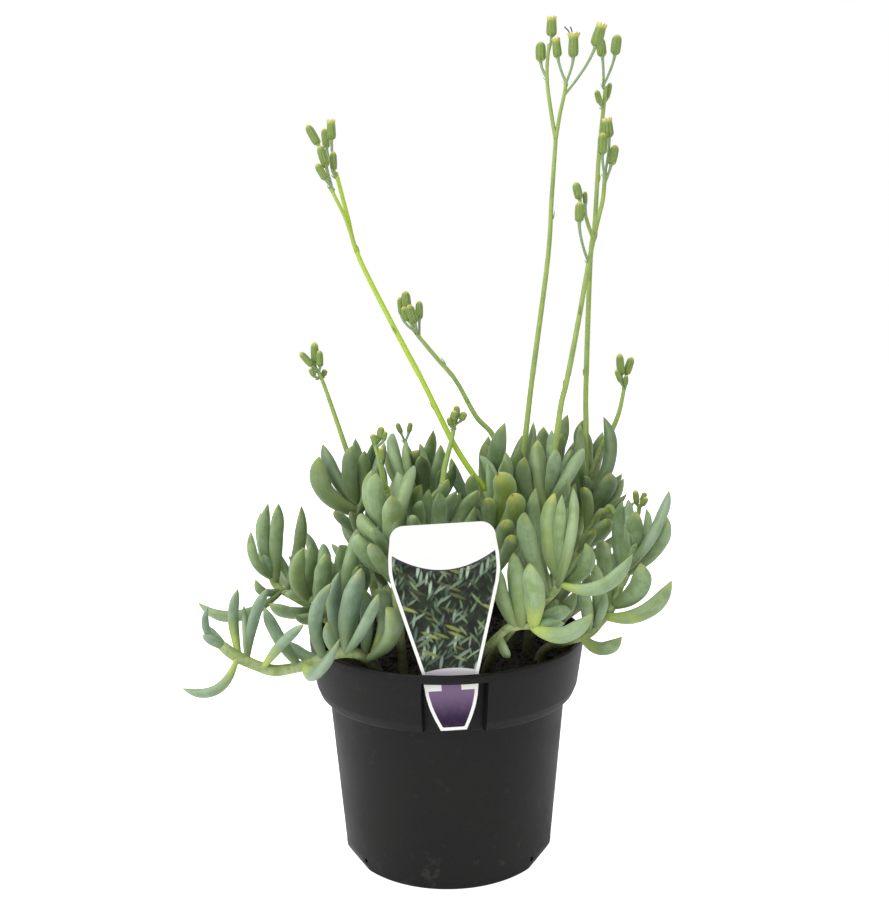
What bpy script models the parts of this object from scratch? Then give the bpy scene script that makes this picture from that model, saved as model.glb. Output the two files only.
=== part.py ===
"""Potted blue chalk sticks: a squat nursery pot, its soil, a plant tag, leafy stems and flower stalks.

Sizes and places are written in millimetres and turned into metres where a mesh is made.
The origin is on the pot's axis, on the surface it stands on. The front faces -Y and +X is to the right.
"""
import math

import bmesh
import bpy
import numpy as np
from mathutils import Matrix

MM = 0.001
GAP = 0.35

# Pot: driving sizes
POT_HEIGHT = 112.5
RIM_RADIUS = 70.0
BAND_FOOT_Z = 83.2
BAND_FOOT_RADIUS = 65.0
BODY_TOP_RADIUS = 60.7
BASE_RADIUS = 53.4
WALL = 1.5
FLOOR_TOP = 3.2
FOOT_RING_INNER = 46.0
BOSS_RADIUS = 13.0
UNDERSIDE_RECESS = 1.2
POT_STEPS = 28

# Tag pocket in the pot's band: a window under the lip, with a wall set back behind it
POCKET_TURN = 2.8
POCKET_HALF_ANGLE = 12.7
CHEEK_ANGLE = 1.3
POCKET_FOOT_RADIUS = 61.3
POCKET_TOP_RADIUS = 64.5
LIP_FOOT_Z = 108.3
LIP_INNER_RADIUS = 67.9
POCKET_WALL_TOP_Z = 110.3
POCKET_STEPS = 5

# Drainage: four flats cut off the base's edge, each with two small holes at its upper corners
FLAT_ANGLES = (-28.0, 28.0, 152.0, 208.0)
FLAT_HALF_ANGLE = 16.5
FLAT_HEIGHT = 5.5
DRAIN_RADIUS = 1.2
DRAIN_Z = 5.2
DRAIN_TURN = 12.5

# Soil
SOIL_CROWN_Z = 105.0
SOIL_EDGE_Z = 102.8
HOLE_RADIUS = 3.4

# Tag: half width at heights above the tail's foot
TAG_THICKNESS = 0.7
TAG_FOOT = (2.9, -63.9, 84.9)
TAG_TILT = 2.7
TAG_YAW = 1.2
TAG_LEAN = 3.2
TAG_HALF_WIDTHS = ((0.0, 5.9), (5.5, 8.4), (11.0, 10.4), (16.5, 11.7), (22.0, 12.3), (28.0, 12.9),
                   (49.0, 18.4), (70.0, 23.8), (76.0, 24.7), (83.0, 24.5), (90.5, 23.4))
TAG_HEIGHT = 97.3
TAG_CORNER = 6.5
TAG_CORNER_STEPS = 4

# Leaf section and outline
LEAF_SIDES = 5
RULE_LEAF_SIDES = 4
LEAF_STATIONS = (0.0, 0.12, 0.52, 0.87, 1.0)
LONG_LEAF_STATIONS = (0.0, 0.1, 0.36, 0.63, 0.87, 1.0)
LONG_LEAF_BEND = 0.3
LONG_LEAF_WIDTH = 7.0
SMALL_LEAF_STATIONS = (0.0, 0.24, 0.75, 1.0)
YOUNG_LEAF_STATIONS = (0.0, 0.5, 1.0)
SMALL_LEAF_WIDTH = 9.4
WIDE_FROM = 0.5
WIDE_TO = 0.62
NECK_SHARE = 0.5
TIP_POWER = 2.5
LEAF_THICKNESS = 0.66
UNDER_BULGE = 1.12
UPPER_BULGE = 0.86
FACET_ALLOWANCE = 1.08

# Stems
STEM_RINGS = 6
STEM_FOOT_RADIUS = 2.5
STEM_TIP_RADIUS = 1.7
GOLDEN_ANGLE = 137.5
SEED = 11

# Room kept between leaves of neighbouring stems
CLEARANCE = 1.0
OWN_CLEARANCE = 0.1
SETTLE_ROUNDS = 260
SETTLE_SAMPLES = (0.12, 0.25, 0.38, 0.51, 0.64, 0.77, 0.89, 1.0)
STIFFNESS = 0.012

# Flower stalks
JOINT_RISE = 4.0
JOINT_GAP = 0.5
JOINT_STRAIGHT = 3.0
STALK_FOOT_RADIUS = 1.45
STALK_TIP_RADIUS = 0.95
STALK_RINGS = 7
FORK_RADIUS = 1.0
FORK_SUNK = 1.5
TWIG_RADIUS = 0.7
BUD_SIDES = 4

COLOURS = {
    "pot": ((0.028, 0.028, 0.030), 0.5),
    "soil": ((0.030, 0.022, 0.016), 0.95),
    "tag": ((0.80, 0.81, 0.82), 0.3),
    "leafy_stem": ((0.235, 0.345, 0.255), 0.55),
    "flower_stalk": ((0.36, 0.47, 0.14), 0.5),
}

# Each leafy stem: its path from the soil to its end, and the leaves seen from the front, each with its
# tip, the part of the stem where it grows, its width, and its bow and lean as shares of its length.
LEAFY_STEMS = {
    "trailing_left": {
        "path": ((-30, -40, 92), (-33, -44, 106), (-40, -48, 115), (-50, -49, 117), (-64, -50, 112),
                 (-79, -50, 109), (-88, -52, 112), (-98, -54, 118), (-103, -54, 122)),
        "leaves": ((-122, -58, 104, .92, 7.1, .24, .22), (-109, -56, 142, .98, 3.7, -.21, -.07),
                   (-95, -56, 150, .91, 5.8, -.09, .24), (-95, -44, 139, .87, 4.2, -.02, -.12),
                   (-80, -63, 152, .87, 6.6, -.05, .17), (-86, -41, 137, .60, 6.6, -.03, -.08),
                   (-64, -66, 136, .78, 7.2, -.01, .07), (-77, -37, 119, .48, 7.4, -.08, .08),
                   (-51, -66, 155, .47, 8.2, -.13, .06), (-49, -50, 156, .38, 8.4, -.09, .24),
                   (-38, -59, 160, .35, 12.6, -.05, .08), (-30, -70, 151, .36, 7.7, .03, .0),
                   (-27, -67, 144, .24, 10.9, .18, .09), (-29, -50, 148, .22, 11.9, .23, .24),
                   (-54, -58, 135, .40, 5.8, -.10, -.01), (-47, -73, 132, .58, 7.5, -.08, -.25),
                   (-35, -44, 146, .27, 9.3, .17, .24)),
        "fill": (0, 0, 0), "radius": (2.6, 2.6)},
    "far_left": {
        "path": ((-46, -12, 92), (-50, -13, 110), (-64, -14, 126), (-73, -16, 133), (-80, -16, 137),
                 (-85, -15, 141), (-87, -15, 146)),
        "leaves": ((-95, -20, 169, .97, 5.1, .13, -.14), (-86, -20, 183, .96, 6.5, -.10, .02),
                   (-80, -27, 184, .92, 7.0, -.06, .08), (-72, -6, 179, .83, 7.6, .05, .12),
                   (-92, -8, 176, .98, 6.9, -.05, .04), (-92, -28, 147, .87, 4.9, .05, -.24),
                   (-124, -14, 132, .86, 8.1, .19, .24), (-86, -28, 135, .62, 8.4, .14, -.03)),
        "fill": (1, 60, 120)},
    "middle_left": {
        "path": ((-42, -27, 92), (-44, -28, 108), (-49, -28, 127), (-55, -28, 133), (-61, -27, 136),
                 (-67, -27, 137)),
        "leaves": ((-67, -40, 165, 1.0, 8.8, -.12, -.08), (-63, -22, 163, 1.0, 8.5, .01, .01),
                   (-56, -42, 163, .92, 9.4, .01, -.03), (-59, -12, 160, .86, 9.0, .05, -.20),
                   (-50, -30, 166, .80, 12.1, .01, .24), (-48, -12, 166, .71, 11.1, -.04, -.24),
                   (-42, -40, 157, .72, 7.9, .02, .24), (-72, -38, 132, .79, 7.3, .09, -.24),
                   (-39, -22, 153, .62, 9.1, .11, .24)),
        "fill": (1, 60, 140)},
    "upper_left": {
        "path": ((-30, 2, 92), (-32, 2, 108), (-37, 2, 133), (-42, 2, 156), (-45, 3, 178), (-46, 4, 189)),
        "leaves": ((-62, -8, 204, .84, 12.6, .12, -.19), (-62, 8, 208, .88, 11.5, .07, -.03),
                   (-47, 14, 211, .96, 7.2, -.12, .01), (-46, -8, 209, .89, 8.2, -.01, -.07),
                   (-39, -11, 207, .84, 6.6, -.12, .10), (-35, -1, 211, .83, 8.2, -.07, .24),
                   (-32, 12, 208, .83, 8.9, -.07, -.24), (-54, 16, 190, .85, 5.6, -.10, .06),
                   (-54, -12, 177, .71, 7.2, -.05, -.08), (-47, -17, 178, .65, 5.5, -.10, -.01)),
        "fill": (2, 50, 130)},
    "front_left": {
        "path": ((-20, -38, 92), (-21, -40, 108), (-23, -41, 135), (-25, -40, 159), (-27, -38, 176),
                 (-27, -38, 186)),
        "leaves": ((-34, -34, 201, .86, 9.5, .16, .02), (-31, -50, 202, .84, 8.5, -.07, -.10),
                   (-21, -56, 193, .73, 9.3, -.05, .07), (-23, -32, 202, .90, 12.1, -.01, -.11),
                   (-40, -32, 179, .79, 11.7, .05, .24), (-33, -56, 178, .72, 6.1, -.04, -.05),
                   (-39, -47, 174, .64, 11.2, .06, -.24), (-34, -58, 171, .59, 7.7, -.05, -.06),
                   (-17, -24, 199, .75, 9.8, -.24, -.24)),
        "fill": (1, 60, 120)},
    "centre_left": {
        "path": ((-6, -38, 92), (-7, -39, 108), (-7, -40, 139), (-6, -38, 163), (-4, -34, 180),
                 (-2, -31, 189)),
        "leaves": ((-10, -34, 193, .68, 11.5, .23, -.24), (-10, -50, 189, .62, 7.3, -.24, -.19),
                   (-3, -52, 193, .61, 7.6, -.24, .05), (-5, -38, 192, .70, 6.2, -.24, -.04),
                   (1, -36, 197, .72, 8.6, -.24, .24), (6, -40, 191, .67, 8.4, -.15, .24),
                   (12, -50, 194, .59, 9.5, -.24, .24), (14, -38, 184, .61, 8.0, .08, .24),
                   (-17, -58, 183, .57, 8.1, -.21, -.23), (-15, -56, 176, .55, 6.0, -.21, -.21)),
        "fill": (1, 60, 120)},
    "back_left": {
        "path": ((-13, -6, 92), (-14, -7, 108), (-14, -4, 139), (-13, 0, 170), (-14, 3, 190), (-17, 4, 199)),
        "leaves": ((-24, 18, 212, .80, 9.5, -.24, .24), (-13, -8, 209, .76, 8.7, -.24, -.09),
                   (-8, 4, 215, .80, 8.0, -.09, .24), (-14, 14, 208, .83, 4.6, -.24, -.02),
                   (-10, -16, 205, .72, 8.1, -.23, .09), (-3, 6, 207, .78, 8.9, .08, -.01),
                   (-2, -14, 198, .71, 5.8, -.19, .24), (4, 0, 200, .72, 7.3, .04, .24),
                   (-19, 8, 208, .82, 6.8, -.08, .24)),
        "fill": (2, 60, 120)},
    "centre_right": {
        "path": ((11, -27, 92), (12, -28, 108), (17, -30, 136), (21, -28, 160), (22, -24, 176),
                 (21, -22, 184)),
        "leaves": ((31, -22, 207, .91, 7.5, .01, .24), (27, -34, 205, .90, 6.0, -.20, .12),
                   (24, -44, 200, .84, 11.0, -.16, .16), (14, -30, 198, .92, 6.4, -.07, -.24),
                   (32, -52, 191, .75, 9.6, -.13, .20), (20, -43, 188, .77, 7.6, -.17, -.03),
                   (27, -52, 179, .65, 8.3, -.15, .11), (30, -55, 173, .56, 7.0, -.15, .15),
                   (20, -8, 205, .96, 5.6, -.10, -.07), (21, -18, 201, .93, 5.5, .02, -.08)),
        "fill": (2, 60, 120)},
    "centre_back": {
        "path": ((18, 2, 92), (19, 3, 108), (24, 4, 140), (29, 3, 168), (32, 1, 184)),
        "leaves": ((29, -10, 220, .93, 9.1, .04), (22, -6, 210, .90, 9.6, .05), (40, 6, 212, .92, 7.0, .06),
                   (24, 14, 208, .88, 7.8, .06)),
        "fill": (3, 40, 140)},
    "tall_centre_foot": {
        "path": ((33, -6, 92), (34, -6, 108), (35, -6, 140), (37, -5, 170), (38, -4, 190)),
        "leaves": ((45, 4, 219, .92, 7.0, .05), (37, -14, 208, .92, 6.5, .06)),
        "fill": (4, 20, 160)},
    "upper_right": {
        "path": ((40, -11, 92), (41, -12, 108), (44, -13, 136), (49, -14, 161), (51, -16, 182),
                 (52, -16, 193)),
        "leaves": ((40, -22, 206, .82, 8.3, .07, -.24), (45, -8, 211, .83, 10.3, -.01, .13),
                   (53, -28, 209, .89, 7.4, .0, .01), (63, -20, 207, .91, 8.8, .02, .24),
                   (67, -8, 207, .87, 10.1, -.23, -.24), (58, -31, 194, .78, 6.2, -.09, .11),
                   (54, 3, 215, .91, 4.2, -.21, .03), (60, -37, 157, .29, 7.2, .0, .20),
                   (53, -30, 136, .18, 6.6, -.07, .14)),
        "fill": (1, 40, 100)},
    "front_right": {
        "path": ((17, -37, 92), (20, -41, 108), (29, -47, 125), (37, -51, 134), (45, -53, 141),
                 (50, -54, 147), (53, -54, 152)),
        "leaves": ((40, -44, 194, .90, 9.5, .15, -.24), (35, -61, 185, .85, 10.9, .05, -.22),
                   (51, -45, 191, .99, 9.1, .10, .04), (52, -61, 193, .99, 6.4, .0, -.05),
                   (56, -49, 185, .98, 5.3, -.02, -.24), (60, -38, 192, .95, 8.0, -.24, .24),
                   (62, -60, 171, .96, 7.2, -.20, .20), (84, -62, 166, .98, 9.0, .23, -.17)),
        "fill": (0, 0, 0)},
    "low_right": {
        "path": ((12, -46, 92), (13, -50, 110), (26, -55, 128), (32, -57, 131), (40, -58, 132)),
        "leaves": ((65, -70, 141, .98, 7.4, .02, .24), (58, -49, 135, .98, 7.6, -.12, .07),
                   (29, -54, 115, .69, 6.3, .06, -.02), (37, -69, 164, .99, 12.3, -.05, -.05),
                   (24, -57, 160, .85, 9.8, .07, -.07), (31, -46, 163, .89, 11.3, -.02, .03)),
        "fill": (0, 0, 0)},
    "far_right": {
        "path": ((44, -24, 92), (47, -25, 108), (60, -29, 115), (69, -31, 119), (75, -31, 125),
                 (81, -30, 133), (85, -28, 143), (89, -27, 153)),
        "leaves": ((83, -42, 121, .46, 7.9, .19, .19), (107, -38, 147, .65, 9.8, .19, .03),
                   (91, -43, 157, .73, 10.2, -.03, .19), (105, -35, 177, .93, 8.1, -.04, .24),
                   (109, -20, 187, .96, 8.2, -.15, -.24), (86, -22, 183, .90, 7.4, .05, -.24),
                   (89, -38, 180, .86, 9.0, -.18, -.03), (99, -14, 177, .98, 4.5, -.24, -.06),
                   (91, -11, 181, 1.0, 5.0, -.24, .24), (73, -45, 168, .68, 7.9, -.16, -.23),
                   (74, -50, 145, .55, 4.2, -.01, .03), (67, -54, 160, .57, 6.4, -.07, -.04),
                   (62, -44, 149, .50, 7.1, -.05, -.01)),
        "fill": (1, 60, 120)},
    "right_branch": {
        "path": ((50, -10, 92), (52, -9, 108), (60, -5, 131), (68, -3, 155), (77, -4, 172)),
        "leaves": ((81, -14, 172, .78, 10.7, -.02, .12), (72, -22, 168, .74, 5.1, -.06, .04),
                   (68, -14, 188, .87, 6.1, -.15, -.15), (97, 0, 179, 1.0, 6.8, -.02, -.08),
                   (69, -24, 148, .31, 7.2, -.01, .15), (62, -30, 140, .24, 6.4, -.03, .04)),
        "fill": (1, 60, 120)},
    "back_right": {
        "path": ((52, 4, 92), (54, 5, 108), (61, 8, 131), (68, 10, 154), (72, 11, 172), (73, 12, 182)),
        "leaves": ((83, 2, 192, .88, 12.6, .06, .22), (81, 16, 221, .95, 10.9, .17, .06),
                   (73, 20, 215, .95, 5.0, -.21, .24), (70, -4, 192, .80, 4.8, -.24, .03)),
        "fill": (2, 60, 120)},
    "top_right": {
        "path": ((30, 16, 92), (32, 17, 108), (42, 21, 137), (52, 23, 167), (57, 24, 186)),
        "leaves": ((65, 28, 220, .97, 7.4, .05), (61, 14, 212, .95, 7.8, .05), (54, 32, 213, .97, 8.7, .05),
                   (46, 24, 208, .90, 10.0, .08), (72, 36, 205, .90, 7.4, .08)),
        "fill": (2, 60, 120)},
    "right_back_stalk_foot": {
        "path": ((46, 20, 92), (48, 21, 108), (62, 24, 145), (74, 24, 176), (81, 21, 199)),
        "leaves": (),
        "fill": (7, -60, 150)},
    "back_left_low": {
        "path": ((-46, 22, 92), (-48, 24, 108), (-58, 32, 117), (-69, 40, 119), (-77, 45, 122)),
        "leaves": (),
        "fill": (6, 0, 360)},
    "back_left_high": {
        "path": ((-23, 24, 92), (-24, 26, 108), (-30, 32, 138), (-36, 36, 164), (-39, 38, 178)),
        "leaves": (),
        "fill": (8, 0, 360)},
    "back_centre_left": {
        "path": ((-8, 24, 92), (-8, 26, 108), (-11, 34, 138), (-14, 40, 164), (-14, 42, 184)),
        "leaves": (),
        "fill": (8, 0, 360)},
    "back_out_left": {
        "path": ((-26, 46, 92), (-28, 50, 108), (-34, 60, 118), (-41, 69, 126), (-46, 75, 136)),
        "leaves": (),
        "fill": (8, 0, 360)},
    "back_out_middle": {
        "path": ((4, 50, 92), (4, 54, 108), (5, 67, 121), (6, 78, 131), (7, 85, 146)),
        "leaves": (),
        "fill": (8, 0, 360)},
    "back_centre": {
        "path": ((12, 26, 92), (13, 28, 108), (17, 36, 138), (20, 42, 164), (22, 44, 186)),
        "leaves": (),
        "fill": (8, 0, 360)},
    "back_right_high": {
        "path": ((34, 36, 92), (35, 38, 108), (42, 46, 136), (49, 52, 160), (52, 55, 176)),
        "leaves": (),
        "fill": (8, 0, 360)},
    "back_right_low": {
        "path": ((46, 31, 92), (50, 34, 110), (61, 41, 124), (74, 49, 138), (80, 53, 153)),
        "leaves": (),
        "fill": (8, 0, 360)},
}

# Each flower stalk: its path, its forks, and its buds. A bud has the place where its twig starts, its foot, its
# top, its width, and how open it is: 0 closed, 1 toothed, 2 in flower. A stalk stands on the leafy stem named.
FLOWER_STALKS = {
    "tall_left": {
        "on": "centre_right",
        "path": ((14, -22, 196), (4, -21, 212), (-10, -19, 241), (-24, -17, 268), (-40, -15, 301),
                 (-45, -13, 320), (-50, -11, 340)),
        "forks": (((-41, -15, 303), (-45, -17, 317), (-49, -18, 326), (-52, -18, 332)),),
        "buds": (((-51, -18, 332), (-54, -21, 336), (-58, -22, 343), 3.7, 0),
                 ((-51, -18, 331), (-54, -17, 342), (-57, -17, 352), 4.2, 0),
                 ((-52, -18, 332), (-58, -14, 353), (-63, -13, 362), 4.2, 0),
                 ((-50, -11, 338), (-51, -13, 341), (-51, -13, 350), 3.5, 0),
                 ((-51, -11, 340), (-52, -10, 356), (-52, -10, 365), 4.5, 1),
                 ((-50, -11, 339), (-55, -5, 353), (-56, -4, 362), 3.8, 0))},
    "mid_left": {
        "on": "centre_back",
        "path": ((30, 2, 199), (24, 4, 213), (16, 4, 222), (6, 5, 240), (-4, 6, 252), (-13, 6, 263)),
        "buds": (((-13, 6, 263), (-14, 2, 269), (-17, 2, 278), 4.6, 0),
                 ((-13, 6, 264), (-17, 7, 270), (-20, 7, 277), 4.2, 0),
                 ((-13, 6, 264), (-18, 11, 275), (-19, 12, 285), 4.9, 0),
                 ((-12, 6, 262), (-12, 11, 271), (-12, 12, 280), 4.0, 0),
                 ((-13, 6, 264), (-21, 13, 273), (-22, 14, 282), 3.2, 0))},
    "small_left": {
        "on": "upper_left",
        "path": ((-49, 4, 203), (-59, 6, 234), (-63, 6, 245)),
        "buds": (((-63, 6, 245), (-66, 5, 248), (-72, 5, 255), 3.6, 0),
                 ((-63, 6, 245), (-65, 8, 249), (-65, 8, 260), 4.2, 0),
                 ((-63, 6, 245), (-62, 4, 248), (-62, 3, 256), 3.6, 0),
                 ((-63, 6, 242), (-65, 4, 243), (-67, 4, 247), 3.0, 0),
                 ((-62, 6, 242), (-61, 9, 243), (-60, 9, 246), 3.0, 0))},
    "centre_small": {
        "on": "centre_left",
        "path": ((0, -28, 201), (3, -26, 212), (5, -26, 221)),
        "buds": (((5, -26, 221), (4, -28, 223), (5, -29, 228), 3.4, 0),
                 ((5, -26, 221), (6, -25, 224), (6, -24, 230), 3.4, 0),
                 ((5, -26, 221), (8, -26, 223), (10, -26, 227), 3.6, 0),
                 ((5, -26, 219), (3, -29, 221), (2, -30, 225), 2.6, 0))},
    "front_bud": {
        "on": "front_left",
        "path": ((-28, -39, 194), (-30, -42, 206), (-32, -43, 214)),
        "buds": (((-32, -43, 214), (-30, -41, 216), (-29, -40, 222), 3.6, 0),
                 ((-32, -43, 214), (-32, -44, 215), (-33, -44, 219), 3.2, 0),
                 ((-31, -43, 213), (-28, -42, 216), (-27, -42, 220), 2.6, 0),
                 ((-30, -42, 205), (-29, -44, 207), (-29, -45, 213), 2.8, 0))},
    "back_bud": {
        "on": "back_left",
        "path": ((-19, 5, 205), (-20, 5, 210)),
        "buds": (((-20, 5, 209), (-22, 4, 214), (-24, 4, 219), 2.8, 0),
                 ((-20, 5, 209), (-18, 6, 214), (-17, 6, 219), 2.8, 0))},
    "tall_centre": {
        "on": "tall_centre_foot",
        "path": ((40, -2, 207), (44, 0, 240), (52, 3, 299), (54, 4, 329), (56, 5, 357)),
        "forks": (((56, 5, 357), (54, 6, 369), (52, 7, 384), (52, 7, 394), (53, 7, 402)),
                  ((56, 5, 357), (58, 5, 369), (60, 5, 378), (61, 4, 385))),
        "buds": (((53, 7, 400), (54, 7, 406), (54, 6, 415), 5.2, 1),
                 ((52, 7, 386), (49, 9, 395), (49, 9, 404), 5.2, 0),
                 ((61, 4, 383), (57, 6, 396), (56, 6, 405), 4.4, 1),
                 ((61, 4, 384), (64, 2, 395), (64, 1, 406), 5.1, 2),
                 ((61, 5, 379), (74, -2, 399), (77, -3, 409), 5.8, 1))},
    "tall_right": {
        "on": "back_right",
        "path": ((73, 13, 198), (73, 13, 214), (73, 14, 239), (75, 16, 300), (77, 16, 317), (79, 17, 351),
                 (82, 17, 384)),
        "buds": (((81, 17, 384), (81, 22, 400), (80, 23, 409), 5.0, 0),
                 ((81, 17, 385), (86, 14, 399), (87, 13, 408), 5.2, 0),
                 ((81, 17, 374), (79, 15, 376), (77, 14, 382), 3.2, 0),
                 ((81, 17, 376), (83, 20, 379), (85, 21, 387), 3.0, 0))},
    "tall_front_right": {
        "on": "upper_right",
        "path": ((54, -15, 208), (57, -14, 229), (60, -13, 241), (66, -9, 270), (71, -6, 297), (75, -6, 316),
                 (78, -4, 328), (79, -3, 341)),
        "forks": (((73, -6, 309), (70, -10, 315), (68, -12, 321)),),
        "buds": (((79, -3, 340), (81, -1, 357), (80, -1, 366), 5.3, 1),
                 ((79, -3, 338), (77, -7, 348), (77, -8, 358), 4.8, 0),
                 ((79, -3, 335), (82, -3, 344), (84, -3, 353), 4.6, 0),
                 ((68, -12, 320), (66, -9, 327), (64, -9, 335), 4.3, 0),
                 ((71, -6, 297), (65, -16, 316), (65, -17, 325), 4.5, 0),
                 ((69, -11, 318), (69, -7, 325), (69, -6, 331), 2.4, 0))},
    "small_right": {
        "on": "right_back_stalk_foot",
        "path": ((86, 20, 209), (91, 20, 221), (94, 20, 236)),
        "buds": (((94, 20, 236), (92, 20, 241), (91, 20, 252), 4.2, 0),
                 ((94, 20, 236), (95, 22, 241), (98, 23, 250), 4.2, 0),
                 ((94, 20, 234), (91, 17, 238), (89, 17, 244), 3.0, 0),
                 ((94, 20, 234), (94, 17, 236), (94, 17, 241), 2.8, 0))},
    "side_right": {
        "on": "right_branch",
        "path": ((88, -9, 169), (95, -12, 173), (96, -13, 177)),
        "buds": (((96, -13, 177), (95, -12, 179), (94, -12, 186), 3.2, 0),
                 ((96, -13, 177), (97, -15, 179), (99, -16, 183), 3.2, 0),
                 ((96, -13, 177), (98, -9, 180), (100, -8, 184), 2.8, 0))},
}


def clear_scene():
    """Remove every object that the file opened with."""
    for thing in list(bpy.data.objects):
        bpy.data.objects.remove(thing, do_unlink=True)


def new_collection(name):
    group = bpy.data.collections.new(name)
    bpy.context.scene.collection.children.link(group)
    return group


def material(name, kind):
    """A Principled material with the colour and roughness of its kind."""
    colour, roughness = COLOURS[kind]
    finish = bpy.data.materials.new(name)
    finish.use_nodes = True
    shader = finish.node_tree.nodes["Principled BSDF"]
    shader.inputs["Base Color"].default_value = (*colour, 1.0)
    shader.inputs["Roughness"].default_value = roughness
    return finish


def add_object(name, mesh, group):
    thing = bpy.data.objects.new(name, mesh)
    group.objects.link(thing)
    return thing


def evaluated_mesh(thing):
    """The object's mesh as its modifiers, or its curve bevel, leave it."""
    bpy.context.view_layer.update()
    graph = bpy.context.evaluated_depsgraph_get()
    return bpy.data.meshes.new_from_object(thing.evaluated_get(graph), depsgraph=graph)


def remove_object(thing):
    data = thing.data
    bpy.data.objects.remove(thing, do_unlink=True)
    (bpy.data.meshes if isinstance(data, bpy.types.Mesh) else bpy.data.curves).remove(data)


def hide_cutter(cutter):
    cutter.hide_render = True
    cutter.display_type = "WIRE"


def smooth_sharp(mesh, angle):
    mesh.shade_smooth()
    mesh.set_sharp_from_angle(angle=math.radians(angle))


def bake(thing):
    """Swap the object's mesh for its evaluated one and drop its modifiers."""
    mesh = evaluated_mesh(thing)
    old = thing.data
    thing.modifiers.clear()
    thing.data = mesh
    bpy.data.meshes.remove(old)


def turned(name, profile, group, steps, start=None, sweep=360.0):
    """Turn a profile of (radius, height) points about the pot's axis.

    A full turn takes an open profile that begins and ends on the axis. A part turn takes a closed one,
    with flat ends, and is centred on the angle start, counted from -Y towards +X.
    """
    whole = start is None
    mesh = bpy.data.meshes.new(name)
    points = [(radius * MM, 0.0, height * MM) for radius, height in profile]
    count = len(points)
    edges = [(i, i + 1) for i in range(count - 1)]
    if whole:
        mesh.from_pydata(points, edges, [])
    else:
        mesh.from_pydata(points, [], [tuple(range(count))])
    thing = add_object(name, mesh, group)
    if whole:
        screw = thing.modifiers.new("turn", "SCREW")
        screw.axis = "Z"
        screw.angle = math.radians(sweep)
        screw.steps = steps
        screw.render_steps = steps
        screw.use_merge_vertices = True
        screw.merge_threshold = 0.00001
        bake(thing)
        return thing
    work = bmesh.new()
    work.from_mesh(mesh)
    first = math.radians(start - 90.0 - sweep / 2)
    bmesh.ops.rotate(work, verts=work.verts, cent=(0, 0, 0), matrix=Matrix.Rotation(first, 3, "Z"))
    cap = list(work.faces)
    bmesh.ops.spin(work, geom=cap + list(work.edges) + list(work.verts), cent=(0, 0, 0), axis=(0, 0, 1),
                   angle=math.radians(sweep), steps=steps, use_duplicate=False)
    bmesh.ops.recalc_face_normals(work, faces=work.faces)
    work.to_mesh(mesh)
    work.free()
    return thing


def boolean(thing, other, operation, solver="EXACT"):
    """Cut or join the object with another and keep the result as its mesh."""
    step = thing.modifiers.new(operation.lower(), "BOOLEAN")
    step.operation = operation
    step.object = other
    step.solver = solver
    bake(thing)


def fuse(body, pieces, name, solver="MANIFOLD"):
    """Join all pieces to the body in one union, then remove them."""
    group = new_collection(name + "_pieces")
    for piece in pieces:
        for home in list(piece.users_collection):
            home.objects.unlink(piece)
        group.objects.link(piece)
    step = body.modifiers.new("fuse", "BOOLEAN")
    step.operation = "UNION"
    step.operand_type = "COLLECTION"
    step.collection = group
    step.solver = solver
    bake(body)
    for piece in list(group.objects):
        remove_object(piece)
    bpy.data.collections.remove(group)


def inner_wall():
    """The pot's inner wall from the floor's edge to the lip, as (radius, height) points."""
    return [(BASE_RADIUS - WALL - 1.3, FLOOR_TOP), (BODY_TOP_RADIUS - WALL, BAND_FOOT_Z + 0.4),
            (BAND_FOOT_RADIUS - WALL, BAND_FOOT_Z + WALL + 0.9), (RIM_RADIUS - 3.6, 98.0),
            (RIM_RADIUS - 1.9, POT_HEIGHT - 1.0)]


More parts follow.
